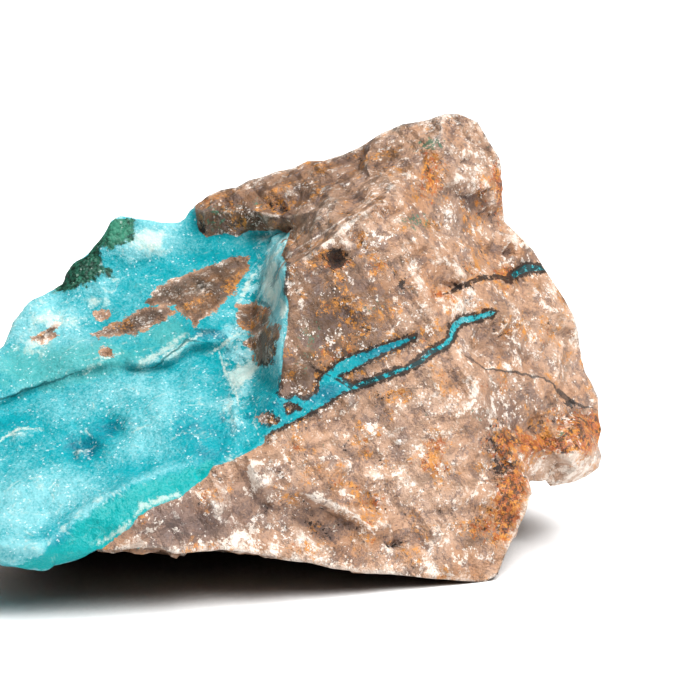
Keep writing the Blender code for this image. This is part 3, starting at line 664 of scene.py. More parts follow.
def store(mesh, name, values):
    """Keeps values on the mesh's corners, where a material reads them by name."""
    values = np.asarray(values, np.float32)
    if values.ndim == 1:
        mesh.attributes.new(name, "FLOAT", "POINT").data.foreach_set("value", values)
    else:
        kept = mesh.attributes.new(name, "FLOAT_VECTOR", "POINT")
        kept.data.foreach_set("vector", values.reshape(-1))


def stored(mesh, name):
    """The numbers kept on the mesh's corners by that name."""
    values = np.empty(len(mesh.vertices), np.float32)
    mesh.attributes[name].data.foreach_get("value", values)
    return values


def weight_group(obj, name, weights):
    """A vertex group that limits a modifier."""
    group = obj.vertex_groups.new(name=name)
    levels = np.round(np.clip(weights, 0.0, 1.0), 1)
    for level in np.unique(levels):
        if level > 0.0:
            group.add(np.flatnonzero(levels == level).tolist(), float(level), "REPLACE")


def displace(obj, name, kind, size, depth, group, **settings):
    """Pushes the surface in and out by one of the plain textures, and keeps the result."""
    texture = bpy.data.textures.new(name, kind)
    texture.noise_scale = size
    for setting, value in settings.items():
        setattr(texture, setting, value)
    modifier = obj.modifiers.new(name, "DISPLACE")
    modifier.texture = texture
    modifier.texture_coords = "LOCAL"
    modifier.strength = depth
    modifier.mid_level = 0.5
    modifier.vertex_group = group
    make_active(obj)
    bpy.ops.object.modifier_apply(modifier=name)


# ---------------------------------------------------------------------------------------------
# The stone's surface
# ---------------------------------------------------------------------------------------------


def waves(points, rows):
    """The sum of several plain waves at each point, in millimetres."""
    return sum(height * np.sin(points @ np.array(way) + start) for *way, start, height in rows)


def vein_depth(points, seen):
    """How far inside the chrysocolla each point is, in millimetres, below 0 outside it."""
    drawn = inside_distance(plotted(points), VEIN_AREA)
    above = (points - VEIN_POINT) @ VEIN_NORMAL
    over_foot = above + np.interp(points[:, 0], VEIN_ENDS, VEIN_THICKNESS)
    over_foot += waves(points, LOWER_WAVES)
    under_top = np.interp(points[:, 0], VEIN_SHOULDER, VEIN_TOP) - above
    under_top += waves(points, UPPER_WAVES)
    return np.where(seen, drawn, np.minimum(over_foot, under_top))


def stone_copy():
    """A copy of the solid's surface as one connected net of triangles."""
    obj = bpy.data.objects.new(SURFACE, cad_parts[NODE].data.copy())
    bpy.context.scene.collection.objects.link(obj)
    obj.data.name = SURFACE
    make_active(obj)
    bpy.ops.object.mode_set(mode="EDIT")
    bpy.ops.mesh.select_all(action="SELECT")
    bpy.ops.mesh.remove_doubles(threshold=MM * 0.001)
    bpy.ops.object.mode_set(mode="OBJECT")
    return obj


def refine_surface(obj, net):
    """Makes the triangles small where the eye looks, and smallest along the vein's edges."""
    mesh = obj.data
    split_faces(obj, np.ones(len(mesh.polygons), bool))
    seen = is_seen(corners_of(mesh), net)
    split_faces(obj, face_mask(mesh, seen))
    points = corners_of(mesh)
    seen = is_seen(points, net)
    spots = plotted(points)
    edge = np.abs(inside_distance(spots, VEIN_AREA)) < FINE_EDGE
    for seam in (LOWER_BRANCH, UPPER_SEAM, CRACK, LEDGE_SHADOW):
        side, half, _ = seam_place(spots, seam).T
        edge |= (np.abs(side) < FINE_SEAM) & (half > SEAM_SPENT)
    for outlines in (ISLANDS, MALACHITE, CREAM):
        edge |= np.abs(inside_any(spots, outlines)) < FINE_MARKING
    split_faces(obj, face_mask(mesh, edge & seen))


def paint_surface(obj, net):
    """Keeps on the mesh where each mineral and stain lies."""
    mesh = obj.data
    points = corners_of(mesh)
    spots = plotted(points)
    seen = is_seen(points, net)
    store(mesh, "vein", np.clip(vein_depth(points, seen), -VEIN_REACH, VEIN_REACH))
    shown = seen.astype(float)
    store(mesh, "shown", shown)
    for name, outlines in AREAS.items():
        depth = np.clip(inside_any(spots, outlines), -AREA_REACH, AREA_REACH)
        store(mesh, name, np.where(seen, depth, -AREA_REACH))
    for name, lines in LINES.items():
        store(mesh, name, np.where(seen, inside_lines(spots, lines), OFF_LINE))
    for name, seam in SEAMS.items():
        place = seam_place(spots, seam)
        place[~seen, 1] = UNSEEN
        store(mesh, name, place)
    right = np.clip(spots[:, 0] - LINING_START, 0.0, 1.0)
    foot = np.clip(LINING_TOP - spots[:, 1], 0.0, 1.0) * np.clip(spots[:, 0] - LINING_FOOT, 0.0, 1.0)
    edge = soft_patches(spots, LINED_PATCHES)
    lined = np.maximum.reduce([right, foot, edge])
    store(mesh, "lined", lined * shown + (1.0 - shown) * HIDDEN_LINING)
    for name, patches in PATCHES.items():
        store(mesh, name, soft_patches(spots, patches) * shown)


def cleaved(points, size):
    """Height of a surface split along flat planes into pieces about this wide: never stepped."""
    height = np.zeros(len(points))
    for number, (x, y, z, times) in enumerate(CLEAVAGE):
        step = size * times
        place = points @ np.array((x, y, z)) / step
        bend = points @ np.array(CLEAVAGE[number - 2][:3]) / (step * 2.3)
        place += 0.3 * np.sin(bend + 1.7 * number) + 0.14 * np.sin(2.6 * bend + number)
        height += np.abs(place - np.round(place)) * step
    return height


def break_facets(obj, size, tilt, rock):
    """Breaks the quartz into flat facets of three sizes."""
    mesh = obj.data
    points = corners_of(mesh)
    heights = np.zeros(len(points))
    for times, share_of_tilt in FACET_LAYERS:
        heights += cleaved(points, size * times) * tilt * share_of_tilt
    heights -= heights.mean()
    set_corners(mesh, points + normals_of(mesh) * (heights * rock)[:, None])


def ridge_heights(spots):
    """Height of the drawn ridges, creases and swells at each spot, in millimetres."""
    heights = np.zeros(len(spots))
    for left, right, line in RIDGES:
        side, height, _ = seam_place(spots, line).T
        fade = np.clip(1.0 - np.maximum(side / left, side / -right), 0.0, 1.0)
        heights += np.where(is_beside(spots, line, max(left, right)), fade * height, 0.0)
    for across, up, reach_across, reach_up, height in SWELLS:
        away = ((spots[:, 0] - across) / reach_across) ** 2 + ((spots[:, 1] - up) / reach_up) ** 2
        heights += height * np.exp(-away)
    return heights


def neighbour_means(mesh, values):
    """For each corner, the mean of the values at the corners it is joined to."""
    ends = np.empty(len(mesh.edges) * 2, np.int32)
    mesh.edges.foreach_get("vertices", ends)
    ends = ends.reshape(-1, 2)
    total = np.zeros_like(values)
    np.add.at(total, ends[:, 0], values[ends[:, 1]])
    np.add.at(total, ends[:, 1], values[ends[:, 0]])
    return total / np.bincount(ends.ravel(), minlength=len(values))[:, None]


def store_crests(mesh, rounds):
    """Keeps how far each corner stands out from what is round it, in millimetres."""
    points = corners_of(mesh)
    flat = points
    for _ in range(rounds):
        flat = 0.5 * flat + 0.5 * neighbour_means(mesh, flat)
    store(mesh, "crest", np.clip(((points - flat) * normals_of(mesh)).sum(axis=1), -0.5, 0.5))


def relief(obj, settings):
    """Fine relief: sharp and granular on the quartz, waxy on the vein, flat where the stone rests."""
    mesh = obj.data
    points = corners_of(mesh)
    shown = stored(mesh, "shown")
    ease = np.clip((points[:, 2] - REST_HEIGHT) / EASE_HEIGHT, 0.0, 1.0)
    inside = np.minimum(stored(mesh, "vein"), -stored(mesh, "island"))
    bare = np.clip(inside / EDGE_REACH * 0.5 + 0.5, 0.0, 1.0)
    weight_group(obj, "waxy", bare * ease)
    weight_group(obj, "broken", (1.0 - bare) * ease)
    weight_group(obj, "eased", soft_patches(plotted(points), EASED_PATCHES) * shown * bare)
    for name, rounds in SMOOTHING.items():
        smooth = obj.modifiers.new(name, "SMOOTH")
        smooth.factor = 0.5
        smooth.iterations = rounds
        smooth.vertex_group = name
        make_active(obj)
        bpy.ops.object.modifier_apply(modifier=name)
    points = corners_of(mesh)
    away = np.linalg.norm(points - LOBE_CORNER, axis=1) / LOBE_REACH
    points += np.exp(-away ** 2)[:, None] * LOBE_MOVE
    drawn = ridge_heights(plotted(points)) * shown * ease
    set_corners(mesh, points + normals_of(mesh) * drawn[:, None])
    break_facets(obj, settings.facet_size, settings.facet_tilt, (1.0 - bare) * ease)
    displace(obj, "grains", "CLOUDS", settings.grain_size, settings.grain_depth, "broken",
             noise_depth=2)
    displace(obj, "ripples", "CLOUDS", settings.ripple_size, settings.ripple_depth, "waxy",
             noise_depth=1)
    store_crests(mesh, CREST_ROUNDS)


class SPECIMEN_OT_stone_surface(bpy.types.Operator):
    """Make the stone's surface, with its minerals and stains"""

    bl_idname = "specimen.stone_surface"
    bl_label = "Stone surface"

    def execute(self, context):
        settings = context.scene.specimen_surface
        obj = stone_copy()
        net = BVHTree.FromPolygons(
            [v.co.copy() for v in obj.data.vertices],
            [tuple(p.vertices) for p in obj.data.polygons],
        )
        refine_surface(obj, net)
        paint_surface(obj, net)
        relief(obj, settings)
        obj.data.materials.clear()
        obj.data.materials.append(stone_material(context.scene))
        obj.data.shade_smooth()
        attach(obj, BODY)
        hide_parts(NODE)
        return {"FINISHED"}


# ---------------------------------------------------------------------------------------------
# Shader maths
# ---------------------------------------------------------------------------------------------


class Value:
    """A node's output that is a number; arithmetic on it adds Math nodes."""

    def __init__(self, graph, socket):
        self.graph = graph
        self.socket = socket

    def maths(self, operation, *others):
        values = [self, *others]
        return self.graph.node("ShaderNodeMath", {"operation": operation}, dict(enumerate(values)))

    def __add__(self, other):
        return self.maths("ADD", other)

    __radd__ = __add__

    def __sub__(self, other):
        return self.maths("SUBTRACT", other)

    def __rsub__(self, other):
        return self.graph.node("ShaderNodeMath", {"operation": "SUBTRACT"}, {0: other, 1: self})

    def __mul__(self, other):
        return self.maths("MULTIPLY", other)

    __rmul__ = __mul__

    def __neg__(self):
        return self.maths("MULTIPLY", -1.0)

    def __abs__(self):
        return self.maths("ABSOLUTE")

    def least(self, other):
        return self.maths("MINIMUM", other)

    def most(self, other):
        return self.maths("MAXIMUM", other)

    def step(self, low, high):
        """0 below low, 1 above high, and smooth between; the other way round if low is above high."""
        return self.graph.node(
            "ShaderNodeMapRange", {"interpolation_type": "SMOOTHSTEP"},
            {"Value": self, "From Min": low, "From Max": high},
        )


class Graph:
    """The nodes of a material or of the world."""

    def __init__(self, owner):
        self.owner = owner
        owner.use_nodes = True
        self.tree = owner.node_tree
        self.tree.nodes.clear()

    @cached_property
    def place(self):
        """Where on the object a point lies."""
        return self.node("ShaderNodeTexCoord", output="Object")

    def node(self, kind, settings=None, inputs=None, output=0):
        """Adds a node with its settings, then its inputs, and gives back one of its outputs."""
        node = self.tree.nodes.new(kind)
        for name, value in (settings or {}).items():
            setattr(node, name, value)
        for name, value in (inputs or {}).items():
            socket = node.inputs[name]
            if isinstance(value, Value):
                self.tree.links.new(value.socket, socket)
            elif isinstance(value, bpy.types.NodeSocket):
                self.tree.links.new(value, socket)
            elif socket.type == "RGBA":
                socket.default_value = (*value[:3], 1.0)
            else:
                socket.default_value = value
        found = node.outputs[output]
        return Value(self, found) if found.type == "VALUE" else found

    def attribute(self, name):
        """A number kept on the mesh."""
        return self.node("ShaderNodeAttribute", {"attribute_name": name}, output="Fac")

    def marking(self, name, stir, amount, low, high):
        """0 outside one of the mesh's markings and 1 inside it, with an edge that a noise stirs."""
        return (self.attribute(name) + (stir - 0.5) * amount).step(low, high)

    def seam(self, name):
        """Distance to one side of a seam, half its width, and how far along it, as kept on the mesh."""
        vector = self.node("ShaderNodeAttribute", {"attribute_name": name}, output="Vector")
        return self.parts("ShaderNodeSeparateXYZ", vector)

    def noise(self, size, detail, roughness, warp=0.0, place=None):
        """Cloudy noise about 0.5, whose blobs are this many millimetres wide."""
        return self.node(
            "ShaderNodeTexNoise", {"noise_dimensions": "3D"},
            {"Vector": place or self.place, "Scale": 1.0 / (size * MM), "Detail": detail,
             "Roughness": roughness, "Distortion": warp},
        )

    def cells(self, size, output="Distance", place=None):
        """Cells this many millimetres wide."""
        inputs = {"Vector": place or self.place, "Scale": 1.0 / (size * MM)}
        return self.node("ShaderNodeTexVoronoi", {}, inputs, output)

    def parts(self, kind, socket):
        """The three numbers of a vector or a colour."""
        first = self.node(kind, {}, {0: socket})
        return [Value(self, part) for part in first.socket.node.outputs]

    def grains(self, size, ragged):
        """Three random numbers for each grain of an uneven mosaic."""
        stir = self.node(
            "ShaderNodeTexNoise", {}, {"Vector": self.place, "Scale": 1.5 / (size * MM), "Detail": 2.0},
            output="Color")
        stir = self.vector("SUBTRACT", stir, (0.5, 0.5, 0.5))
        stir = self.vector("MULTIPLY", stir, (size * MM * ragged * 5.0,) * 3)
        spot = self.vector("ADD", self.place, stir)
        return self.parts("ShaderNodeSeparateColor", self.cells(size, output="Color", place=spot))

    def mix(self, factor, low, high):
        """A colour between two colours."""
        return self.node(
            "ShaderNodeMix", {"data_type": "RGBA", "clamp_factor": True},
            {0: factor, 6: low, 7: high}, output=2,
        )

    def vector(self, operation, first, second, output=0):
        inputs = {0: first, 1: second}
        return self.node("ShaderNodeVectorMath", {"operation": operation}, inputs, output)

    def facets(self, size, tilt):
        """Height of small flat crystal faces, in metres, each with a lean of its own."""
        middle = self.cells(size, output="Position")
        lean = self.vector("SUBTRACT", middle.node.outputs["Color"], (0.5, 0.5, 0.5))
        spot = self.vector("SUBTRACT", self.place, middle)
        return self.vector("DOT_PRODUCT", spot, lean, output="Value") * tilt

    def cleaved(self, size):
        """Height of a surface split along flat planes, in metres: creased, never stepped."""
        height = 0.0
        warp = self.noise(size * 2.4, 1.0, 0.5) * CLEAVAGE_BEND
        for number, (x, y, z, times) in enumerate(CLEAVAGE[:4]):
            step = size * times * MM
            way = (x / step, y / step, z / step)
            place = self.vector("DOT_PRODUCT", self.place, way, output="Value")
            place = place + warp * (1.0 - 0.6 * number)
            height = place.maths("PINGPONG", 0.5) * step + height
        return height

    def strokes(self, width, longer, lean):
        """Cloudy noise about 0.5 drawn out along one way, for thin flecks."""
        spot = self.node(
            "ShaderNodeMapping", {},
            {"Vector": self.place, "Rotation": (0.3, lean, 0.0), "Scale": (1.0, 1.0, 1.0 / longer)})
        return self.noise(width, 2.0, 0.6, place=spot)

    def bump(self, height):
        """A normal that follows a height in metres."""
        return self.node("ShaderNodeBump", {}, {"Strength": 1.0, "Distance": 1.0, "Height": height})

    def principled(self, tone, roughness, specular, more=None):
        """A surface of this colour; more holds its other sockets."""
        inputs = {"Base Color": tone, "Roughness": roughness, "Specular IOR Level": specular}
        return self.node("ShaderNodeBsdfPrincipled", {}, {**inputs, **(more or {})})

    def join(self, factor, first, second):
        """One surface where the factor is 0 and another where it is 1."""
        return self.node("ShaderNodeMixShader", {}, {0: factor, 1: first, 2: second})

    def finish(self, shader, kind="ShaderNodeOutputMaterial"):
        """Shows this shader, and gives back the material or world."""
        self.tree.links.new(shader, self.tree.nodes.new(kind).inputs["Surface"])
        return self.owner


def quartz_colour(graph, colours):
    """Pinkish brown quartz with glassy, milky, ochre, rusty, green and dark grains."""
    olive = graph.attribute("olive")
    pink = graph.attribute("pink")
    rust = graph.attribute("rust")
    white = graph.attribute("white")
    dark = graph.attribute("dark")
    crest = graph.attribute("crest")
    isle = graph.attribute("island").step(-0.3, 0.4)
    cloud = graph.noise(4.6, 2.0, 0.6)
    patch = graph.noise(1.7, 4.0, 0.68)
    fine = graph.noise(0.3, 3.0, 0.75)
    cluster = graph.noise(3.2, 2.0, 0.6)
    pieces = graph.grains(1.0, 0.5)
    crumbs = graph.grains(0.36, 0.5)
    dust = graph.grains(0.16, 0.4)
    # The rock's own colour, in clouds and patches.
    tone = graph.mix((cloud - 0.4) * 3.0, colours.body, colours.pink)
    tone = graph.mix(pink * (0.6 + patch), tone, colours.pink)
    tone = graph.mix(graph.attribute("grey") * (0.5 + patch), tone, colours.grey)
    tone = graph.mix(olive * (0.6 + patch), tone, colours.olive)
    tone = graph.mix(isle * (0.4 + cloud), tone, colours.umber)
    # Shaded hollows and lit breaks.
    shade = (patch - 0.5) * 2.1 + (fine - 0.5) * 1.8 + (pieces[0] - 0.5) * 0.4 + crest * 2.0
    shade = shade + pink * 0.1 + white * 0.4 - olive * 0.1
    tone = graph.mix((-shade).step(-0.05, 0.75) * 0.75, tone, colours.grey)
    tone = graph.mix(shade.step(0.15, 0.95) * (0.6 - olive * 0.3), tone, colours.white)
    # Glassy, faintly stained and milky grains.
    glassy = graph.noise(2.1, 5.0, 0.72) + (pieces[1] - 0.5) * 0.14 - white * 0.12 - pink * 0.02
    glassy = glassy.step(0.535, 0.57)
    tone = graph.mix(glassy * 0.6 * (1.0 - isle), tone, colours.grey)
    halo = graph.noise(2.2, 4.0, 0.7) + (pieces[2] - 0.5) * 0.12 + rust * 0.12 - white * 0.1
    tone = graph.mix(halo.step(0.52, 0.7) * (0.2 + rust * 0.3), tone, colours.ochre)
    milky = graph.noise(1.25, 5.0, 0.76) + (pieces[0] - 0.5) * 0.1 + white * 0.13
    milky = (milky + crest * 0.16 - olive * 0.03).step(0.595, 0.63) * (0.8 - olive * 0.3)
    tone = graph.mix(milky * (1.0 - isle * 0.7), tone, colours.white)
    # Thin dark lines, painted shade in the drawn creases, and the brown skin beside the vein.
    dark_lines_and_crease_shade = (0.016 - abs(graph.noise(2.6, 4.0, 0.62) - 0.47)).step(0.0, 0.014) * (cloud - 0.2)
    dark_lines_and_crease_shade = dark_lines_and_crease_shade.most(graph.marking("crease_shade", fine, 0.5, -0.08, 0.12))
    tone = graph.mix(dark_lines_and_crease_shade * 0.85 * (1.0 - white), tone, colours.umber)
    near = (graph.attribute("vein") + 1.1).step(0.0, 1.0) * graph.attribute("lined")
    tone = graph.mix(near * (0.2 + cluster * 0.8), tone, colours.umber)
    # Stains of iron and copper.
    ochre = (cluster + (fine - 0.5) * 0.8 + rust * 0.2 + olive * 0.03).step(0.6, 0.7)
    tone = graph.mix(ochre * 0.45, tone, colours.ochre)
    specks = (cluster + rust * 0.3 + olive * 0.06 + near * 0.1).step(0.54, 0.62)
    tone = graph.mix(crumbs[2].step(0.78, 0.82) * specks * 0.8, tone, colours.gold)
    stain = (graph.noise(0.6, 4.0, 0.78) + (cluster - 0.5) * 0.5 + rust * 0.36).step(0.67, 0.73)
    tone = graph.mix(stain * (0.75 + crumbs[2] * 0.25), tone, colours.rust)
    tone = graph.mix(crumbs[1].step(0.6, 0.7) * rust.step(0.3, 0.6) * 0.85, tone, colours.gold)
    burnt = (crumbs[0] * 0.6 + pieces[0] * 0.4 + (fine - 0.5) * 0.8).step(0.44, 0.37)
    burnt = burnt * (rust + (patch - 0.5) * 0.6).step(0.4, 0.6)
    tone = graph.mix(burnt * 0.8, tone, colours.dark)
    verdigris = (graph.noise(0.5, 3.0, 0.7) + graph.attribute("green") * 0.34).step(0.68, 0.76)
    tone = graph.mix(verdigris * 0.8, tone, colours.green)
    # Bright flecks with painted glints and painted highlights on the drawn edges, and dark pits between
    # the grains, drawn most in hollows as painted shade.
    crowd = (patch - 0.5) * 1.1 + (cloud - 0.5) * 0.7 + white * 0.06 + near * 0.12
    crowd = crowd - rust * 0.1 - olive * 0.03
    flecks_and_glints = (dust[0] + crowd).step(1.02, 1.06).most((crumbs[0] + crowd * 0.5).step(1.0, 1.02) * 0.8)
    # Painted highlight along the drawn bright edges.
    bright = graph.marking("bright", fine, 0.5, -0.06, 0.08)
    flecks_and_glints = flecks_and_glints.most(bright) * (1.0 - isle * 0.5)
    tone = graph.mix(flecks_and_glints * 0.78, tone, colours.fleck_glint)
    pits_and_hollow_shade = graph.noise(0.4, 3.0, 0.75) + (cluster - 0.5) * 0.35 + dark * 0.5 + olive * 0.05
    pits_and_hollow_shade = (pits_and_hollow_shade + (crumbs[0] - 0.5) * (0.14 + dark * 0.3) - crest * 0.4 - white * 0.1).step(0.7, 0.74)
    tone = graph.mix(pits_and_hollow_shade * 0.92, tone, colours.dark)
    return tone, 0.5 - glassy * 0.2 + pits_and_hollow_shade * 0.4


def quartz_shader(graph, colours, crack):
    """Broken quartz, with a dark crack across it."""
    tone, rough = quartz_colour(graph, colours)
    tone = graph.mix(crack * 0.8, tone, colours.dark)
    height = graph.cleaved(3.0) * 0.34 + graph.cleaved(1.1) * 0.26 + graph.facets(0.42, 0.5)
    height = height + (graph.noise(0.24, 2.0, 0.75) - 0.5) * 0.00036
    return graph.principled(tone, rough, 0.6, {"Normal": graph.bump(height)})


def vein_shader(graph, colours, shaded):
    """Waxy chrysocolla: frosted top, clear teal rim and pockets, a shattered strip beside the block."""
    pale = graph.attribute("pale")
    deep = graph.attribute("deep")
    broken = graph.attribute("shattered")
    crest = graph.attribute("crest")
    rim = graph.marking("rim", graph.noise(1.0, 3.0, 0.7), 1.6, -0.2, 0.5)
    cloud = graph.noise(4.4, 2.0, 0.5, 0.8)
    swirl = graph.noise(1.3, 3.0, 0.55, 1.0)
    fine = graph.noise(0.3, 3.0, 0.7)
    chips = graph.grains(1.0, 0.25)
    dust = graph.grains(0.17, 0.3)
    # Frosted where it is weathered, paler on raised crests as painted highlight, clear in its pockets
    # and along its rim.
    frost_and_crest_highlight = cloud * 0.6 + swirl * 0.35 + fine * 0.6 + pale * 0.6 - deep * 0.6 - rim * 0.5 + crest * 1.2
    frost_and_crest_highlight = (frost_and_crest_highlight + (chips[0] - 0.5) * broken * 1.4 + (dust[1] - 0.5) * 0.3).step(0.6, 1.4)
    tone = graph.mix(frost_and_crest_highlight, colours.bright, colours.pale)
    shelf = graph.marking("dull", swirl, 1.2, 0.2, 0.8)
    tone = graph.mix(shelf * 0.7, tone, colours.dull)
    pocket = swirl * 0.9 + (fine - 0.5) * 0.4 + deep * 0.7 + (chips[1] - 0.5) * broken * 0.7
    tone = graph.mix(pocket.step(0.62, 1.25) * (1.0 - frost_and_crest_highlight * 0.6), tone, colours.deep)
    tone = graph.mix(rim * (0.95 - frost_and_crest_highlight * 0.35), tone, colours.clear)
    milk = (graph.attribute("white") + (swirl - 0.5) * 1.6 + (fine - 0.5) * 0.6).step(0.3, 0.95)
    tone = graph.mix(milk * 0.8, tone, colours.cream)
    # Splits and streaks, most of them in the shattered strip.
    torn = (graph.noise(0.7, 4.0, 0.7) - broken * 0.03).step(0.42, 0.38) * broken
    tone = graph.mix(torn * 0.4, tone, colours.deep)
    streak = (graph.noise(2.4, 4.0, 0.75, 2.5) + pale * 0.1 + crest * 0.25).step(0.6, 0.74)
    tone = graph.mix(streak * 0.45 * (1.0 - rim * 0.7), tone, colours.cream)
    split = graph.strokes(0.4, 2.4, 0.9)
    split = (split + broken * 0.06).step(0.66, 0.72) * broken
    tone = graph.mix(split * 0.8, tone, colours.cream)
    # Sugary dust with painted glints, weathered crust, rifts, and the painted shadow under the ledge.
    sugar_glint = (dust[0] + (swirl - 0.5) * 0.3 + pale * 0.02).step(0.98, 1.0) * (1.0 - rim)
    tone = graph.mix(sugar_glint * 0.42, tone, colours.sugar_glint)
    crust = graph.marking("cream", graph.noise(0.7, 4.0, 0.75), 2.2, -0.12, 0.4)
    crust = crust.most(graph.marking("veil", fine, 0.7, -0.1, 0.16) * 1.2)
    tone = graph.mix(crust * 0.65, tone, colours.cream)
    rift = graph.marking("rift", fine, 0.7, -0.08, 0.16)
    tone = graph.mix(rift * 0.6, tone, colours.rift)
    tone = graph.mix(shaded * 0.8, tone, colours.shade)
    height = (graph.noise(0.5, 2.0, 0.65) - 0.5) * 0.0002 + graph.facets(0.24, 0.8) * 0.4
    height = height + graph.facets(1.1, 0.8) * broken
    glow = {"Subsurface Weight": 0.3, "Subsurface Radius": (0.4, 1.0, 1.0), "Subsurface Scale": GLOW}
    return graph.principled(tone, 0.38 + frost_and_crest_highlight * 0.2, 0.2, {"Normal": graph.bump(height), **glow})


def malachite_shader(graph, colours):
    """Dull, dark green crust of tiny round crystals."""
    speck = graph.grains(0.3, 0.4)
    light = graph.noise(0.9, 4.0, 0.7) * 1.2 + speck[0] * 0.3 + graph.attribute("green") * 0.5
    tone = graph.mix(light.step(0.55, 1.25), colours.malachite, colours.moss)
    tone = graph.mix(speck[1].step(0.97, 0.98) * 0.4, tone, colours.cream)
    height = graph.cells(0.4) * -0.00018
    return graph.principled(tone, 0.5, 0.2, {"Normal": graph.bump(height)})


def branch_depth(graph, name, edge, fine):
    """How far inside a thin branch of the vein, and how far along it."""
    side, half, along = graph.seam(name)
    return half - abs(side + edge * 0.25) + fine * 0.5, along


def stone_material(scene):
    """Quartz, chrysocolla and malachite, each where the mesh says it lies."""
    colours = scene.specimen_vein
    graph = Graph(bpy.data.materials.new("quartz_and_vein"))
    edge = (graph.noise(0.55, 4.0, 0.7) - 0.5) * 0.5
    fine = (graph.noise(0.25, 2.0, 0.6) - 0.5) * 0.22
    wander = (graph.noise(2.2, 2.0, 0.5) - 0.5) * 0.9
    seams = {}
    for name in ("upper_seam", "crack", "ledge_shade", "ledge_shadow"):
        side, half, _ = graph.seam(name)
        seams[name] = (half - abs(side + edge * 0.3 + wander) + fine).step(-0.03, 0.05)
    # How far inside the vein: its bared area less what stands in it, then its two thin branches.
    inside = graph.attribute("vein") + edge * 0.8
    island = graph.attribute("island") + 0.2 + (graph.noise(1.3, 5.0, 0.72) - 0.5) * 2.4
    lower, lower_along = branch_depth(graph, "lower_branch", edge, fine)
    upper, upper_along = branch_depth(graph, "upper_seam", edge, fine)
    upper = upper.least((upper_along - UPPER_START) * 0.5)
    in_vein = inside.least(-island).most(lower).most(upper)
    rock = quartz_shader(graph, scene.specimen_quartz, seams["crack"])
    blue = vein_shader(graph, colours, seams["ledge_shade"].most(seams["ledge_shadow"]))
    body = graph.join(in_vein.step(-0.03, 0.05), rock, blue)
    # The dark lining along the vein's edge, and dark grains in its branches.
    lining = 0.16 - abs(in_vein + 0.1) + (graph.noise(0.6, 5.0, 0.75) - 0.45) * 1.5
    lining = lining.step(0.0, 0.12) * graph.attribute("lined")
    sooty = seams["upper_seam"] * graph.noise(0.7, 4.0, 0.7).step(0.38, 0.48)
    choked = graph.noise(0.9, 4.0, 0.7) + (CHOKED_END - lower_along).step(0.0, 2.0) * 0.1
    choked = choked.step(0.55, 0.6) * (lower + 0.1).step(0.0, 0.1)
    black = lining.most(sooty).most(choked) * 0.9
    body = graph.join(black, body, graph.principled(colours.selvage, 0.6, 0.2))
    crust = graph.marking("malachite", graph.noise(1.2, 5.0, 0.7), 2.6, -0.22, 0.13)
    return graph.finish(graph.join(crust, body, malachite_shader(graph, colours)))


# ---------------------------------------------------------------------------------------------
# Stage
# ---------------------------------------------------------------------------------------------


def floor_material():
    """Plain white, with painted shadow where something stands close over it."""
    graph = Graph(bpy.data.materials.new("floor"))
    open_sky = graph.node(
        "ShaderNodeAmbientOcclusion", {"samples": 3}, {"Distance": SHADE_REACH}, output="AO")
    # Painted shadow: the floor darkens where it sees little open sky.
    tone = graph.mix(open_sky.step(0.18, 0.48), FLOOR_SHADE, FLOOR_WHITE)
    return graph.finish(graph.principled(tone, 0.9, 0.1))


def add_floor(size):
    bpy.ops.mesh.primitive_plane_add(size=size, location=(0.0, 0.0, 0.0))
    floor = bpy.context.object
    floor.name = "floor"
    floor.data.materials.append(floor_material())


def add_soft_light(name, heading, strength, spread):
    """A soft light: the way its light travels, its strength and its width in degrees."""
    light = bpy.data.lights.new(name, "SUN")
    light.energy = strength
    light.angle = math.radians(spread)
    obj = bpy.data.objects.new(name, light)
    obj.rotation_euler = Vector(heading).to_track_quat("-Z", "Y").to_euler()
    bpy.context.scene.collection.objects.link(obj)


def add_world(strength):
    """A dim room whose walls look white."""
    graph = Graph(bpy.data.worlds.new("white room"))
    light = graph.node("ShaderNodeBackground", {}, {"Color": LIGHT_WHITE, "Strength": strength})
    wall = graph.node("ShaderNodeBackground", {}, {"Color": WALL_WHITE})
    straight = graph.node("ShaderNodeLightPath", output="Is Camera Ray")
    room = graph.join(straight, light, wall)
    bpy.context.scene.world = graph.finish(room, "ShaderNodeOutputWorld")


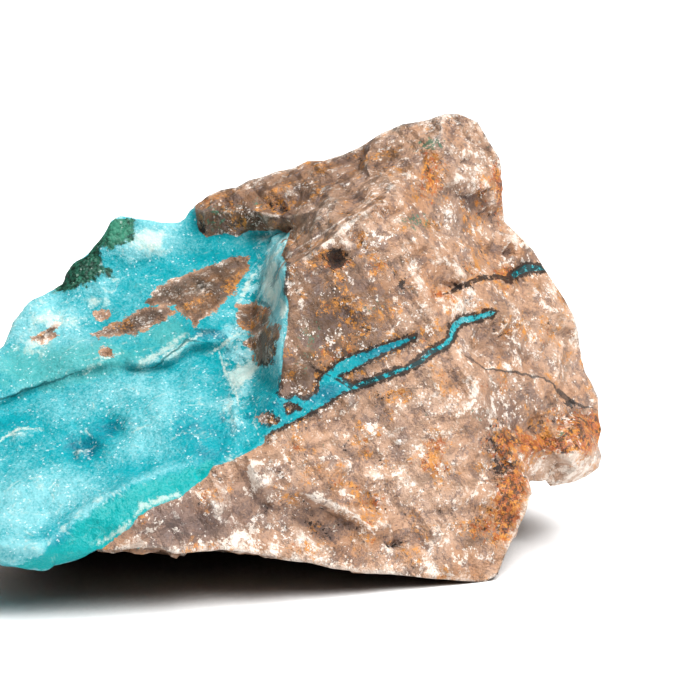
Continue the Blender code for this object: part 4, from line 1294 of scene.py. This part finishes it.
def add_camera():
    camera = bpy.data.cameras.new("camera")
    camera.sensor_width = 36.0
    camera.lens = camera.sensor_width * SIGHT_DISTANCE / SIGHT_WIDTH
    camera.clip_start = 0.01
    obj = bpy.data.objects.new("camera", camera)
    obj.location = EYE * MM
    obj.rotation_euler = (math.pi / 2.0 - SIGHT_TILT, 0.0, 0.0)
    bpy.context.scene.collection.objects.link(obj)
    bpy.context.scene.camera = obj


class SPECIMEN_OT_stage(bpy.types.Operator):
    """Lay the floor and set the lights and the camera"""

    bl_idname = "specimen.stage"
    bl_label = "Stage"

    def execute(self, context):
        settings = context.scene.specimen_stage
        deselect_all()
        add_floor(settings.floor_size)
        add_soft_light("overhead", OVERHEAD_HEADING, settings.overhead, OVERHEAD_WIDTH)
        add_soft_light("front", FRONT_HEADING, settings.front, FRONT_WIDTH)
        add_world(settings.world)
        add_camera()
        context.scene.view_settings.view_transform = "Standard"
        return {"FINISHED"}


class SPECIMEN_PT_panel(bpy.types.Panel):
    """Lists the steps that build the specimen"""

    bl_idname = "SPECIMEN_PT_panel"
    bl_label = "Specimen"
    bl_space_type = "VIEW_3D"
    bl_region_type = "UI"
    bl_category = "Specimen"

    def draw(self, context):
        for step in STEPS:
            self.layout.operator(step.bl_idname)


STEPS = (SPECIMEN_OT_stone_surface, SPECIMEN_OT_stage)
SETTINGS = {
    "specimen_surface": SurfaceSettings,
    "specimen_quartz": QuartzColours,
    "specimen_vein": VeinColours,
    "specimen_stage": StageSettings,
}


def register():
    for kind in (*SETTINGS.values(), *STEPS, SPECIMEN_PT_panel):
        bpy.utils.register_class(kind)
    for name, kind in SETTINGS.items():
        setattr(bpy.types.Scene, name, PointerProperty(type=kind))


def unregister():
    for name in SETTINGS:
        delattr(bpy.types.Scene, name)
    for kind in reversed((*SETTINGS.values(), *STEPS, SPECIMEN_PT_panel)):
        bpy.utils.unregister_class(kind)


def main():
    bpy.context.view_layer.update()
    register()
    bpy.ops.specimen.stone_surface()
    bpy.ops.specimen.stage()


if __name__ == "__main__":
    main()
